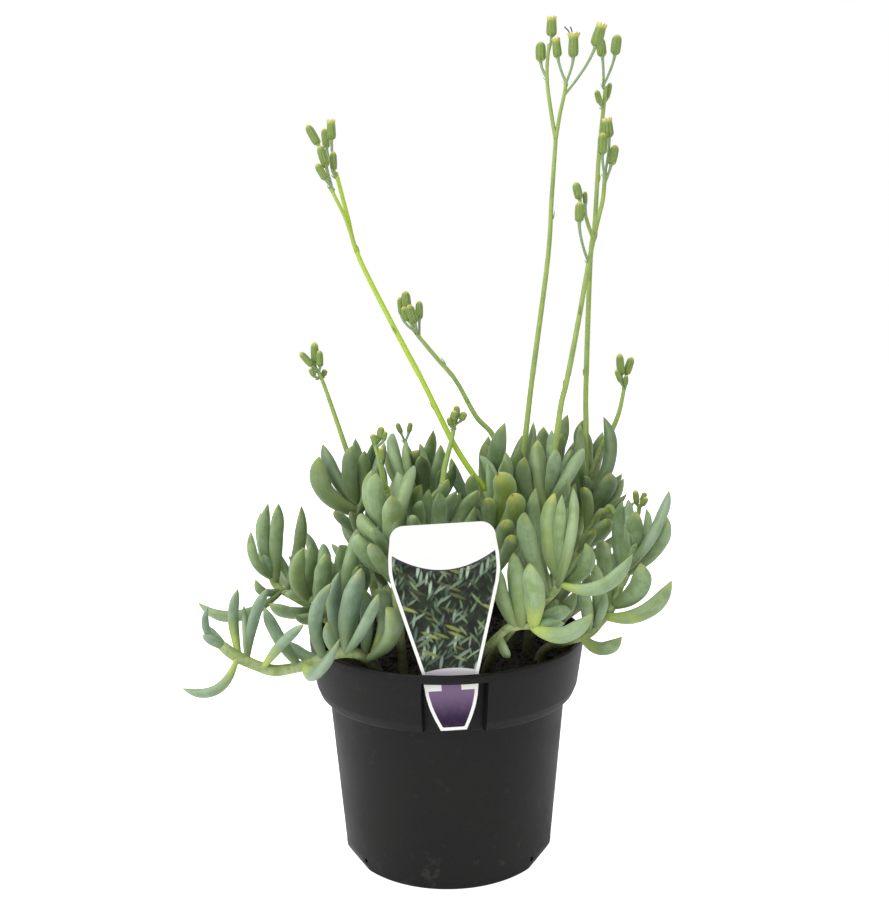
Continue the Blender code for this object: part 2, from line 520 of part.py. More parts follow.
def make_pot(group, cutters):
    """The pot: a turned shell, with the tag's pocket, the flats at its base and their drain holes."""
    profile = [(0.0, FLOOR_TOP), *inner_wall()]
    profile += [(RIM_RADIUS - 1.3, POT_HEIGHT), (RIM_RADIUS - 0.5, POT_HEIGHT), (RIM_RADIUS, POT_HEIGHT - 0.8),
                (RIM_RADIUS - 1.0, 102.0), (RIM_RADIUS - 3.0, 88.2),
                (BAND_FOOT_RADIUS + 0.4, BAND_FOOT_Z + 1.0), (BAND_FOOT_RADIUS - 0.8, BAND_FOOT_Z),
                (BODY_TOP_RADIUS, BAND_FOOT_Z - 0.3), (BASE_RADIUS + 0.2, 1.0), (BASE_RADIUS - 0.8, 0.0),
                (FOOT_RING_INNER, 0.0), (FOOT_RING_INNER - 1.0, UNDERSIDE_RECESS),
                (BOSS_RADIUS + 1.0, UNDERSIDE_RECESS), (BOSS_RADIUS, 0.0), (0.0, 0.0)]
    pot = turned("pot", profile, group, POT_STEPS)
    sweep = 2 * POCKET_HALF_ANGLE
    block = turned("pocket_block", [
        (POCKET_FOOT_RADIUS - WALL - 0.3, BAND_FOOT_Z + 0.6), (BAND_FOOT_RADIUS - 0.9, BAND_FOOT_Z + 0.6),
        (RIM_RADIUS - 2.4, 98.0), (RIM_RADIUS - 1.3, LIP_FOOT_Z), (RIM_RADIUS - 1.3, POCKET_WALL_TOP_Z),
        (POCKET_TOP_RADIUS - WALL, POCKET_WALL_TOP_Z)],
        cutters, POCKET_STEPS, start=POCKET_TURN, sweep=sweep + 2 * CHEEK_ANGLE)
    window = turned("pocket_window", [
        (POCKET_FOOT_RADIUS, BAND_FOOT_Z - 1.0), (RIM_RADIUS + 8, BAND_FOOT_Z - 1.0),
        (RIM_RADIUS + 8, LIP_FOOT_Z), (LIP_INNER_RADIUS, LIP_FOOT_Z), (LIP_INNER_RADIUS, POT_HEIGHT + 2),
        (POCKET_TOP_RADIUS, POT_HEIGHT + 2), (POCKET_TOP_RADIUS, LIP_FOOT_Z)],
        cutters, POCKET_STEPS, start=POCKET_TURN, sweep=sweep)
    boolean(pot, block, "UNION")
    boolean(pot, window, "DIFFERENCE")
    for number, angle in enumerate(FLAT_ANGLES):
        boolean(pot, flat_cutter(number, angle, cutters), "DIFFERENCE")
        for side in (-1, 1):
            drain = drain_cutter(number, angle + side * DRAIN_TURN, cutters)
            boolean(pot, drain, "DIFFERENCE")
    for cutter in cutters.objects:
        hide_cutter(cutter)
    smooth_sharp(pot.data, 35)
    return pot


def flat_cutter(number, angle, group):
    """A tilted block whose face makes a flat on the base's edge."""
    size = 30.0
    reach = BASE_RADIUS * math.cos(math.radians(FLAT_HALF_ANGLE))
    top_reach = BASE_RADIUS + FLAT_HEIGHT * (BODY_TOP_RADIUS - BASE_RADIUS) / BAND_FOOT_Z
    tilt = math.atan2(top_reach - reach, FLAT_HEIGHT)
    work = bmesh.new()
    bmesh.ops.create_cube(work, size=size * MM)
    mesh = bpy.data.meshes.new(f"base_flat_{number}")
    work.to_mesh(mesh)
    work.free()
    cutter = add_object(mesh.name, mesh, group)
    turn = math.radians(angle)
    middle = reach + size / 2 * math.cos(tilt)
    cutter.rotation_euler = (0.0, tilt, turn)
    across, down = middle * MM, -size / 2 * math.sin(tilt) * MM
    cutter.location = (across * math.cos(turn), across * math.sin(turn), down)
    return cutter


def drain_cutter(number, angle, group):
    """A short bar through the lower wall."""
    work = bmesh.new()
    bmesh.ops.create_cone(work, cap_ends=True, segments=6, radius1=DRAIN_RADIUS * MM, radius2=DRAIN_RADIUS * MM,
                          depth=8 * MM)
    mesh = bpy.data.meshes.new(f"drain_{number}")
    work.to_mesh(mesh)
    work.free()
    cutter = add_object(mesh.name, mesh, group)
    turn = math.radians(angle)
    cutter.rotation_euler = (0.0, math.radians(90), turn)
    cutter.location = (BASE_RADIUS * math.cos(turn) * MM, BASE_RADIUS * math.sin(turn) * MM, DRAIN_Z * MM)
    return cutter


def make_soil(group, cutters, paths):
    """The soil: it fills the pot a little below the lip, with a plain hole for each stem."""
    walls = [(radius - GAP, height) for radius, height in inner_wall()]
    foot, shoulder, collar, upper, lip = walls
    share = (SOIL_EDGE_Z - upper[1]) / (lip[1] - upper[1])
    edge = upper[0] + (lip[0] - upper[0]) * share
    profile = [(0.0, SOIL_CROWN_Z), (24.0, SOIL_CROWN_Z - 0.2), (48.0, SOIL_CROWN_Z - 0.8), (edge, SOIL_EDGE_Z),
               upper, (collar[0], collar[1] + GAP), (shoulder[0], shoulder[1] + 1.0),
               (foot[0], FLOOR_TOP + GAP), (0.0, FLOOR_TOP + GAP)]
    soil = turned("soil", profile, group, POT_STEPS)
    room = turned("soil_relief", [
        (POCKET_FOOT_RADIUS - WALL - 0.3 - 2 * GAP, BAND_FOOT_Z - 2), (RIM_RADIUS + 6, BAND_FOOT_Z - 2),
        (RIM_RADIUS + 6, POT_HEIGHT), (POCKET_TOP_RADIUS - WALL - GAP, POT_HEIGHT)],
        cutters, POCKET_STEPS, start=POCKET_TURN, sweep=2 * (POCKET_HALF_ANGLE + CHEEK_ANGLE + 0.8))
    boolean(soil, room, "DIFFERENCE")
    for name in paths:
        boolean(soil, hole_cutter(name, stem_line(name, paths), cutters), "DIFFERENCE")
    for cutter in cutters.objects:
        hide_cutter(cutter)
    smooth_sharp(soil.data, 40)
    return soil


def hole_cutter(name, line, group):
    """A bar round the buried stretch of a stem, wider than the stem by the gap all round."""
    points = np.asarray(line, float)
    over = int(np.argmax(points[:, 2] > SOIL_CROWN_Z + 3))
    share = (SOIL_CROWN_Z + 3 - points[over - 1, 2]) / (points[over, 2] - points[over - 1, 2])
    above = points[over - 1] + (points[over] - points[over - 1]) * share
    foot = points[0] - unit(points[1] - points[0]) * 2.5 * GAP
    bar = [foot, *points[1:over], above]
    return tube("hole_" + name, bar, [HOLE_RADIUS] * len(bar), group, 1)


def stem_point(path, share):
    """The point at a share of a path's length."""
    points = np.array(path, float)
    steps = np.linalg.norm(np.diff(points, axis=0), axis=1)
    along = np.concatenate([[0.0], np.cumsum(steps)])
    return np.array([np.interp(share * along[-1], along, points[:, k]) for k in range(3)])


def smooth_path(points, count):
    """Points at even steps on a smooth curve through the given ones (a Catmull-Rom curve)."""
    given = np.array(points, float)
    ends = np.vstack([2 * given[0] - given[1], given, 2 * given[-1] - given[-2]])
    fine = []
    for k in range(len(given) - 1):
        a, b, c, d = ends[k:k + 4]
        t = np.linspace(0, 1, 12, endpoint=False)[:, None]
        fine.append(0.5 * (2 * b + (c - a) * t + (2 * a - 5 * b + 4 * c - d) * t**2
                           + (3 * b - a - 3 * c + d) * t**3))
    fine = np.vstack([*fine, given[-1:]])
    along = np.concatenate([[0.0], np.cumsum(np.linalg.norm(np.diff(fine, axis=0), axis=1))])
    places = np.linspace(0, along[-1], count)
    return np.stack([np.interp(places, along, fine[:, k]) for k in range(3)], axis=1)


def outline_share(t):
    """A leaf's width along its length, from a narrow neck to the widest stretch and on to a pointed tip."""
    t = np.asarray(t, float)
    rise = NECK_SHARE + (1 - NECK_SHARE) * np.sin(np.pi / 2 * np.clip(t / WIDE_FROM, 0, 1))
    fall = 1 - np.clip((t - WIDE_TO) / (1 - WIDE_TO), 0, 1) ** TIP_POWER
    return np.minimum(rise, fall)


def unit(vectors):
    vectors = np.asarray(vectors, float)
    return vectors / np.maximum(np.linalg.norm(vectors, axis=-1, keepdims=True), 1e-9)


def stem_frame(path, share):
    """The place on a stem's smooth path and the direction in which it grows there."""
    point = stem_point(path, share)
    ahead = stem_point(path, min(1.0, share + 0.04))
    behind = stem_point(path, max(0.0, share - 0.04))
    return point, unit(ahead - behind)


def leaf_stations(width, bow, lean):
    """Where a leaf's rings stand: more of them on a long curved leaf, fewer on a small one."""
    if math.hypot(bow, lean) >= LONG_LEAF_BEND and width >= LONG_LEAF_WIDTH:
        return LONG_LEAF_STATIONS
    return SMALL_LEAF_STATIONS if width < SMALL_LEAF_WIDTH else LEAF_STATIONS


def leaf_record(stem, path, share, tip, width, bow, lean=0.0):
    """One leaf: root, middle control point and tip of its centre line, its half sizes and its upper side.

    The middle moves outwards by the bow and sideways by the lean. The upper side looks to the stem and a
    little to the plant's middle.
    """
    root, along = stem_frame(path, share)
    chord = tip - root
    length = np.linalg.norm(chord)
    aim = chord / length
    straight = float(aim @ along)
    side = unit(aim - straight * along)
    outward = straight * side - math.sqrt(max(0.0, 1 - straight**2)) * along
    bent = outward * bow + np.cross(aim, outward) * lean
    inward = unit(np.array([-0.4 * root[0], 20 - root[1], 0.0]))
    return {"stem": stem, "root": root, "middle": root + chord * 0.5 + bent * length * 2,
            "tip": np.array(tip, float), "width": width, "upper": unit(0.7 * inward - outward),
            "sides": LEAF_SIDES, "stations": leaf_stations(width, bow, lean)}


def filled_leaf(stem, path, share, azimuth, draw):
    """A leaf placed by rule: it leaves the stem towards an azimuth and turns up, the less the lower it is."""
    root, along = stem_frame(path, share)
    lift = unit(along + np.array([0, 0, 0.7]))
    out = np.array([math.cos(azimuth), math.sin(azimuth), 0.0])
    out = unit(out - (out @ lift) * lift)
    pitch = math.radians(62 - 36 * share + draw.uniform(-5, 5))
    length = 40 - 8 * share + draw.uniform(-4, 4)
    tip = root + length * (math.cos(pitch) * lift + math.sin(pitch) * out)
    width = 7.9 + draw.uniform(-0.7, 1.0)
    leaf = leaf_record(stem, path, share, tip, width, 0.10 + draw.uniform(-0.03, 0.05))
    leaf["sides"], leaf["stations"] = RULE_LEAF_SIDES, SMALL_LEAF_STATIONS
    return leaf


def plan_leaves(paths):
    """Every leaf of every stem: those seen from the front, those placed by rule, and the young ones on top."""
    draw = np.random.default_rng(SEED)
    carried = {stalk["on"] for stalk in FLOWER_STALKS.values()}
    leaves = []
    for stem, (name, plant) in enumerate(LEAFY_STEMS.items()):
        path = paths[name]
        for x, y, z, share, width, *bends in plant["leaves"]:
            leaves.append(leaf_record(stem, path, share, np.array([x, y, z], float), width, *bends))
        count, first, last = plant["fill"]
        whole = last - first >= 360
        for k in range(count):
            turn = k * GOLDEN_ANGLE + 40 * stem if whole else first + (last - first) * (k + 0.5) / count
            low = 0.5 if whole else 0.6
            share = low + (0.92 - low) * (k + 0.5) / count
            leaves.append(filled_leaf(stem, path, share, math.radians(turn), draw))
        if name in carried or not plant["leaves"]:
            continue
        for k in range(2):
            root, along = stem_frame(path, 1.0)
            azimuth = math.radians(90 + 180 * k + 25 * stem)
            out = np.array([math.cos(azimuth), math.sin(azimuth), 0.2])
            tip = root + unit(along + 0.34 * out) * (14 - 2 * k)
            young = leaf_record(stem, path, 0.985, tip, 4.4, 0.03)
            young["sides"], young["stations"] = RULE_LEAF_SIDES, YOUNG_LEAF_STATIONS
            leaves.append(young)
    return leaves


def leaf_samples(root, middle, tip, upper, places):
    """Points, directions and section axes along many leaves at once."""
    t = np.asarray(places, float)[None, :, None]
    root, middle, tip = root[:, None], middle[:, None], tip[:, None]
    points = (1 - t) ** 2 * root + 2 * t * (1 - t) * middle + t**2 * tip
    ahead = unit(2 * (1 - t) * (middle - root) + 2 * t * (tip - middle))
    wide = unit(np.cross(ahead, upper[:, None]))
    thick = np.cross(ahead, wide)
    return points, ahead, wide, thick


def obstacle_points(paths):
    """Things that leaves keep clear of: every stem, every flower stalk with its buds, and the tag."""
    points, sizes, owners = [], [], []
    for stem, name in enumerate(LEAFY_STEMS):
        line = smooth_path(paths[name], 24)
        points.append(line)
        sizes.append(np.full(24, STEM_FOOT_RADIUS))
        owners.append(np.full(24, stem))
    for stalk in FLOWER_STALKS.values():
        line = smooth_path(stalk_path(stalk, paths), 40)
        points.append(line)
        sizes.append(np.full(40, STALK_FOOT_RADIUS))
        owners.append(np.full(40, -1))
        for start, _, top, width, _ in stalk["buds"]:
            points.append(np.linspace(start, top, 6))
            sizes.append(np.full(6, width / 2))
            owners.append(np.full(6, -1))
    heights = np.arange(14, TAG_HEIGHT + 1, 5.5)
    for height in heights:
        half = np.interp(height, *zip(*TAG_HALF_WIDTHS))
        across = np.linspace(-half, half, 9)
        points.append(np.array([tag_point(x, height) for x in across]))
        sizes.append(np.full(9, 1.8))
        owners.append(np.full(9, -1))
    return np.vstack(points), np.concatenate(sizes), np.concatenate(owners)


def pot_push(points, sizes):
    """How far each point must move to clear the soil, the pot's lip and its outer wall."""
    radius = np.maximum(np.hypot(points[:, 0], points[:, 1]), 1e-6)
    out = points * [1, 1, 0] / radius[:, None]
    push = np.zeros_like(points)
    over_soil = radius < RIM_RADIUS - 3
    push[:, 2] += np.where(over_soil, np.maximum(0, SOIL_CROWN_Z + 0.8 + sizes - points[:, 2]), 0)
    ring = out * (RIM_RADIUS - 1) + [0, 0, POT_HEIGHT - 1]
    away = points - ring
    span = np.linalg.norm(away, axis=1)
    short = np.maximum(0, sizes + 2.2 - span)
    push += away / np.maximum(span, 1e-6)[:, None] * short[:, None]
    beside = (radius >= RIM_RADIUS - 3) & (points[:, 2] < POT_HEIGHT)
    push += out * np.where(beside, np.maximum(0, RIM_RADIUS + 0.8 + sizes - radius), 0)[:, None]
    return push


def settle(leaves, paths):
    """Bend leaves clear of those of neighbouring stems and of everything else.

    Each leaf is a row of flat discs along its centre line. Where two come too close, both leaves' middle
    and tip points move apart, while a weak pull keeps every leaf near its planned place.
    """
    root = np.array([leaf["root"] for leaf in leaves])
    middle = np.array([leaf["middle"] for leaf in leaves])
    tip = np.array([leaf["tip"] for leaf in leaves])
    upper = np.array([leaf["upper"] for leaf in leaves])
    width = np.array([leaf["width"] for leaf in leaves])
    stem = np.array([leaf["stem"] for leaf in leaves])
    planned_middle, planned_tip = middle.copy(), tip.copy()
    reach = np.linalg.norm(tip - root, axis=1)
    places = np.array(SETTLE_SAMPLES)
    per_leaf = len(places)
    share = outline_share(places) * FACET_ALLOWANCE
    half_wide = (width[:, None] / 2 * share).ravel()
    half_thick = half_wide * LEAF_THICKNESS
    leaf_of = np.repeat(np.arange(len(leaves)), per_leaf)
    place_of = np.tile(places, len(leaves))
    fixed, fixed_size, fixed_owner = obstacle_points(paths)
    owner = np.concatenate([stem[leaf_of], fixed_owner])
    outer = np.concatenate([half_wide, fixed_size])
    moving = len(leaf_of)
    near_root = np.concatenate([place_of < 0.4, np.ones(len(fixed), bool)])
    first = second = None
    for turn in range(SETTLE_ROUNDS):
        points, _, wide, thick = leaf_samples(root, middle, tip, upper, places)
        flat = points.reshape(-1, 3)
        everything = np.vstack([flat, fixed])
        if turn % 10 == 0:
            first, second = close_pairs(everything, outer, owner, near_root, leaf_of, moving)
        between = everything[second] - everything[first]
        span = np.maximum(np.linalg.norm(between, axis=1), 1e-6)
        aim = between / span[:, None]
        needed = side_reach(first, aim, moving, wide, thick, half_wide, half_thick, outer)
        needed += side_reach(second, aim, moving, wide, thick, half_wide, half_thick, outer)
        same = owner[first] == owner[second]
        short = np.maximum(0, needed + np.where(same, OWN_CLEARANCE, CLEARANCE) - span)
        short *= np.where(same, 0.35, 1.0)
        shift = np.zeros_like(everything)
        both = second < moving
        half = np.where(both, 0.5, 1.0)[:, None] * aim * short[:, None]
        np.add.at(shift, first, -half)
        np.add.at(shift, second[both], half[both])
        shift = shift[:moving] + pot_push(flat, half_wide)
        mid_weight = 2 * place_of * (1 - place_of)
        tip_weight = place_of**2
        scale = 0.5 / (mid_weight**2 + tip_weight**2 + 0.25)
        step_mid = np.zeros_like(middle)
        step_tip = np.zeros_like(tip)
        np.add.at(step_mid, leaf_of, shift * (mid_weight * scale)[:, None])
        np.add.at(step_tip, leaf_of, shift * (tip_weight * scale)[:, None])
        calm = 1.0 if turn < SETTLE_ROUNDS - 80 else 0.0
        middle = middle + limit(step_mid, 1.2) + STIFFNESS * calm * (planned_middle - middle)
        tip = tip + limit(step_tip, 1.6) + STIFFNESS * calm * (planned_tip - tip)
        chord = tip - root
        length = np.linalg.norm(chord, axis=1)
        tip = root + chord * (np.clip(length, 0.86 * reach, 1.06 * reach) / length)[:, None]
    for k, leaf in enumerate(leaves):
        leaf["middle"], leaf["tip"] = middle[k], tip[k]


def limit(step, most):
    length = np.linalg.norm(step, axis=1, keepdims=True)
    return step * np.minimum(1.0, most / np.maximum(length, 1e-9))


def close_pairs(points, outer, owner, near_root, leaf_of, moving):
    """Pairs of places that may touch: on different stems, or on the outer stretches of one stem's leaves."""
    gaps = points[:moving, None, :] - points[None, :, :]
    span = np.sqrt((gaps**2).sum(axis=2))
    close = span < outer[:moving, None] + outer[None, :] + CLEARANCE + 3
    close &= np.arange(moving)[:, None] < np.arange(len(points))[None, :]
    same = owner[:moving, None] == owner[None, :]
    inner = near_root[:moving, None] | near_root[None, :]
    close &= ~(same & inner)
    leaf_full = np.concatenate([leaf_of, np.full(len(points) - moving, -1)])
    close &= leaf_full[:moving, None] != leaf_full[None, :]
    return np.nonzero(close)


def side_reach(index, aim, moving, wide, thick, half_wide, half_thick, outer):
    """How far a leaf's oval section, or a round thing, reaches in the direction of the other."""
    reach = outer[index].copy()
    leafy = index < moving
    which = index[leafy]
    across = (aim[leafy] * wide.reshape(-1, 3)[which]).sum(axis=1) * half_wide[which]
    through = (aim[leafy] * thick.reshape(-1, 3)[which]).sum(axis=1) * half_thick[which]
    reach[leafy] = np.hypot(across, through)
    return reach


def make_leaf(name, leaf, group):
    """A ball carried along the leaf's centre line: its rings take the leaf's width and thickness."""
    stations = np.array(leaf["stations"])
    work = bmesh.new()
    bmesh.ops.create_uvsphere(work, u_segments=leaf["sides"], v_segments=len(stations) - 1, radius=1.0)
    ball = np.array([vertex.co[:] for vertex in work.verts])
    ring = np.rint(np.arccos(np.clip(-ball[:, 2], -1, 1)) / np.pi * (len(stations) - 1)).astype(int)
    turn = np.arctan2(ball[:, 1], ball[:, 0]) + np.pi / 2
    centre, _, wide, thick = leaf_samples(leaf["root"][None], leaf["middle"][None], leaf["tip"][None],
                                          leaf["upper"][None], stations)
    size = outline_share(stations) * leaf["width"] / 2 * FACET_ALLOWANCE
    size[[0, -1]] = 0.0
    bulge = np.where(np.sin(turn) > 0, UNDER_BULGE, UPPER_BULGE) * LEAF_THICKNESS
    places = (centre[0, ring] + wide[0, ring] * (np.cos(turn) * size[ring])[:, None]
              + thick[0, ring] * (np.sin(turn) * size[ring] * bulge)[:, None]) * MM
    for vertex, place in zip(work.verts, places):
        vertex.co = place
    mesh = bpy.data.meshes.new(name)
    work.to_mesh(mesh)
    work.free()
    return add_object(name, mesh, group)


def tube(name, points, radii, group, bevel):
    """A tapered tube along points, as a mesh with welded round caps."""
    curve = bpy.data.curves.new(name, "CURVE")
    curve.dimensions = "3D"
    curve.bevel_depth = MM
    curve.bevel_resolution = bevel
    curve.use_fill_caps = True
    line = curve.splines.new("POLY")
    line.points.add(len(points) - 1)
    for spot, place, radius in zip(line.points, points, radii):
        spot.co = (*(np.asarray(place) * MM), 1.0)
        spot.radius = float(radius)
    thing = add_object(name + "_line", curve, group)
    mesh = evaluated_mesh(thing)
    remove_object(thing)
    work = bmesh.new()
    work.from_mesh(mesh)
    bmesh.ops.remove_doubles(work, verts=work.verts, dist=0.000001)
    bmesh.ops.recalc_face_normals(work, faces=work.faces)
    work.to_mesh(mesh)
    work.free()
    mesh.name = name
    return add_object(name, mesh, group)


def make_leafy_stem(name, plant, paths, leaves, group):
    """A stem and its leaves in one body."""
    foot, end = plant.get("radius", (STEM_FOOT_RADIUS, STEM_TIP_RADIUS))
    line = stem_line(name, paths)
    body = tube("leafy_stem_" + name, line, np.linspace(foot, end, len(line)), group, 1)
    pieces = [make_leaf(f"leaf_{name}_{k}", leaf, group) for k, leaf in enumerate(leaves)]
    fuse(body, pieces, name)
    body.data.materials.clear()
    body.data.materials.append(material("leafy_stem_" + name, "leafy_stem"))
    smooth_sharp(body.data, 50)
    return body


def stalk_joint(stalk, paths):
    """Where a stem ends and its flower stalk begins, and the direction both take there."""
    under = np.array(paths[stalk["on"]], float)
    first = np.array(stalk["path"][0], float)
    way = unit(first - under[-2])
    return under[-1] + way * JOINT_RISE, way


def stalk_path(stalk, paths):
    """A flower stalk's path, starting just above the end of the leafy stem that carries it."""
    end, way = stalk_joint(stalk, paths)
    return [end + way * JOINT_GAP, end + way * (JOINT_GAP + JOINT_STRAIGHT),
            *[np.array(point, float) for point in stalk["path"]]]


def stem_line(name, paths):
    """A leafy stem's tube line. Under a flower stalk it ends straight, so the two ends face each other."""
    path = paths[name]
    rings = STEM_RINGS + (4 if len(path) > 7 else 0)
    line = smooth_path(path, rings)
    for stalk in FLOWER_STALKS.values():
        if stalk["on"] == name:
            end, way = stalk_joint(stalk, paths)
            return np.vstack([line[:-1], end - way * JOINT_STRAIGHT, end])
    return line


def make_bud(name, start, foot, top, width, group):
    """A twig that rises from the stalk and swells into a closed, blunt flower bud."""
    start, foot, top = np.array(start, float), np.array(foot, float), np.array(top, float)
    ahead = unit(top - foot)
    bend = foot - ahead * np.linalg.norm(foot - start) * 0.15
    sunk = start - unit(bend - start) * 1.6
    centre = np.array([sunk, bend, foot + (top - foot) * 0.2, foot + (top - foot) * 0.82, top])
    half = np.array([0.0, TWIG_RADIUS, width * 0.5, width * 0.5, 0.0])
    work = bmesh.new()
    bmesh.ops.create_uvsphere(work, u_segments=BUD_SIDES, v_segments=len(centre) - 1, radius=1.0)
    ball = np.array([vertex.co[:] for vertex in work.verts])
    ring = np.rint(np.arccos(np.clip(-ball[:, 2], -1, 1)) / np.pi * (len(centre) - 1)).astype(int)
    turn = np.arctan2(ball[:, 1], ball[:, 0])
    along = unit(np.gradient(centre, axis=0))
    wide = unit(np.cross(along, [0.0, 1.0, 0.2]))
    thick = np.cross(along, wide)
    places = (centre[ring] + wide[ring] * (np.cos(turn) * half[ring])[:, None]
              + thick[ring] * (np.sin(turn) * half[ring])[:, None]) * MM
    for vertex, place in zip(work.verts, places):
        vertex.co = place
    mesh = bpy.data.meshes.new(name)
    work.to_mesh(mesh)
    work.free()
    return add_object(name, mesh, group)


def nearest_place(point, lines):
    """The place nearest to a point on any of several lines of straight stretches."""
    best = None
    for line in lines:
        first, step = line[:-1], np.diff(line, axis=0)
        share = np.clip(((point - first) * step).sum(axis=1) / (step**2).sum(axis=1), 0, 1)
        places = first + step * share[:, None]
        nearest = places[np.argmin(np.linalg.norm(places - point, axis=1))]
        if best is None or np.linalg.norm(nearest - point) < np.linalg.norm(best - point):
            best = nearest
    return best


def make_flower_stalk(name, stalk, paths, group):
    """A bare stalk that parts into twigs, with a bud on each, in one body."""
    path = stalk_path(stalk, paths)
    rings = STALK_RINGS if len(path) > 5 else 4
    line = np.vstack([path[:1], smooth_path(path[1:], rings)])
    radii = np.linspace(STALK_FOOT_RADIUS, STALK_TIP_RADIUS, rings + 1)
    body = tube("flower_stalk_" + name, line, radii, group, 1)
    pieces, carriers = [], [line]
    for number, fork in enumerate(stalk.get("forks", ())):
        first, second = (np.array(point, float) for point in fork[:2])
        points = [first - unit(second - first) * FORK_SUNK, *fork]
        radii = np.linspace(FORK_RADIUS, TWIG_RADIUS + 0.1, len(points))
        pieces.append(tube(f"fork_{name}_{number}", points, radii, group, 0))
        carriers.append(np.array(fork, float))
    for number, (start, foot, top, width, _) in enumerate(stalk["buds"]):
        start = nearest_place(np.array(start, float), carriers)
        pieces.append(make_bud(f"bud_{name}_{number}", start, foot, top, width, group))
    fuse(body, pieces, name)
    body.data.materials.clear()
    body.data.materials.append(material("flower_stalk_" + name, "flower_stalk"))
    smooth_sharp(body.data, 50)
    return body


def tag_point(across, height, depth=0.0):
    """A place on the tag's plane, which stands in the pocket and leans a little."""
    tilt, lean = math.radians(TAG_TILT), math.radians(TAG_LEAN)
    x = across * math.cos(tilt) - height * math.sin(tilt)
    rise = across * math.sin(tilt) + height * math.cos(tilt)
    y = -rise * math.sin(lean) - depth * math.cos(lean)
    z = rise * math.cos(lean) - depth * math.sin(lean)
    turn = math.radians(TAG_YAW)
    return np.array(TAG_FOOT) + np.array([x * math.cos(turn) - y * math.sin(turn),
                                          x * math.sin(turn) + y * math.cos(turn), z])


def tag_outline():
    """The tag's outline in its own plane, from the foot up the right side and down the left."""
    right = [(half, height) for height, half in TAG_HALF_WIDTHS]
    last_half = TAG_HALF_WIDTHS[-1][1]
    for k in range(1, TAG_CORNER_STEPS + 1):
        turn = math.pi / 2 * k / TAG_CORNER_STEPS
        right.append((last_half - TAG_CORNER * (1 - math.cos(turn)),
                      TAG_HEIGHT - TAG_CORNER + TAG_CORNER * math.sin(turn)))
    return right + [(-half, height) for half, height in reversed(right)]


def make_tag(group):
    """The plant tag: a flat outline with the tag's thickness, stood in the pocket."""
    curve = bpy.data.curves.new("plant_tag", "CURVE")
    curve.dimensions = "2D"
    curve.fill_mode = "BOTH"
    curve.extrude = TAG_THICKNESS / 2 * MM
    outline = tag_outline()
    line = curve.splines.new("POLY")
    line.points.add(len(outline) - 1)
    for spot, (across, height) in zip(line.points, outline):
        spot.co = (across * MM, height * MM, 0.0, 1.0)
    line.use_cyclic_u = True
    flat = add_object("plant_tag_line", curve, group)
    mesh = evaluated_mesh(flat)
    remove_object(flat)
    work = bmesh.new()
    work.from_mesh(mesh)
    bmesh.ops.remove_doubles(work, verts=work.verts, dist=0.000001)
    for vertex in work.verts:
        across, height, depth = (value / MM for value in vertex.co)
        vertex.co = tag_point(across, height, depth) * MM
    work.to_mesh(mesh)
    work.free()
    mesh.name = "plant_tag"
    return add_object("plant_tag", mesh, group)


def main():
    clear_scene()
    parts = new_collection("potted_blue_chalk_sticks")
    pot_cutters = new_collection("pot_cutters")
    soil_cutters = new_collection("soil_cutters")
    paths = {name: plant["path"] for name, plant in LEAFY_STEMS.items()}
    pot = make_pot(parts, pot_cutters)
    pot.data.materials.append(material("pot", "pot"))
    soil = make_soil(parts, soil_cutters, paths)
    soil.data.materials.append(material("soil", "soil"))
    tag = make_tag(parts)
    tag.data.materials.append(material("plant_tag", "tag"))
    leaves = plan_leaves(paths)
    settle(leaves, paths)
    for stem, (name, plant) in enumerate(LEAFY_STEMS.items()):
        own = [leaf for leaf in leaves if leaf["stem"] == stem]
        make_leafy_stem(name, plant, paths, own, parts)
    for name, stalk in FLOWER_STALKS.items():
        make_flower_stalk(name, stalk, paths, parts)


main()
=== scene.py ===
# %% [markdown]
# # Potted blue chalk sticks
#
# A squat charcoal nursery pot holds a clump of blue chalk sticks. Fleshy, finger-like leaves with a pale
# powdery bloom stand on arching stems, and thin yellow-green stalks carry barrel-shaped flower buds. The
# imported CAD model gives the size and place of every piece. Each cell below swaps one kind of piece for a
# finer surface of the same form, and gives it its finish. Lengths are in millimetres until a mesh is
# made.

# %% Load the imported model
import math

import bpy
import numpy as np
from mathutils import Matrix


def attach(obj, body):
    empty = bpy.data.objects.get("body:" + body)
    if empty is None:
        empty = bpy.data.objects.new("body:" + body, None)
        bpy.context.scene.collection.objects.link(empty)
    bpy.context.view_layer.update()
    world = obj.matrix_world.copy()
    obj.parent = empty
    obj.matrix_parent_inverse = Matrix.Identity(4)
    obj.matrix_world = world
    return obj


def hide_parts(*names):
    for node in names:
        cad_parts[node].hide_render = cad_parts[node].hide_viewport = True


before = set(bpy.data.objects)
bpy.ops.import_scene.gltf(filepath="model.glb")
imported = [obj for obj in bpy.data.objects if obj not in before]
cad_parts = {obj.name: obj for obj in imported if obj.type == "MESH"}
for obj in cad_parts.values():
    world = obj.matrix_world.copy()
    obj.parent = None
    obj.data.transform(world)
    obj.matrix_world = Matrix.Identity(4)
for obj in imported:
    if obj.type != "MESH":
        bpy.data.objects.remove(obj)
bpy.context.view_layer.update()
MM = 0.001

# %% [markdown]
# ## Camera, floor and light
#
# The picture was taken from just above the leaves, about half a metre away, looking down by a few
# degrees. The object stands on a plain white ground under soft white light, which wraps round the dark
# pot and shows as a pale sheen on its sides. Two wide lamps and an even white sky give that, with a
# large disc as the floor.

# %% Camera
from mathutils import Matrix

CAMERA_PLACE = (0.0, -0.507, 0.273)
CAMERA_DIP = 7.6
CAMERA_ROLL = -0.63
CAMERA_LENS = 40.64


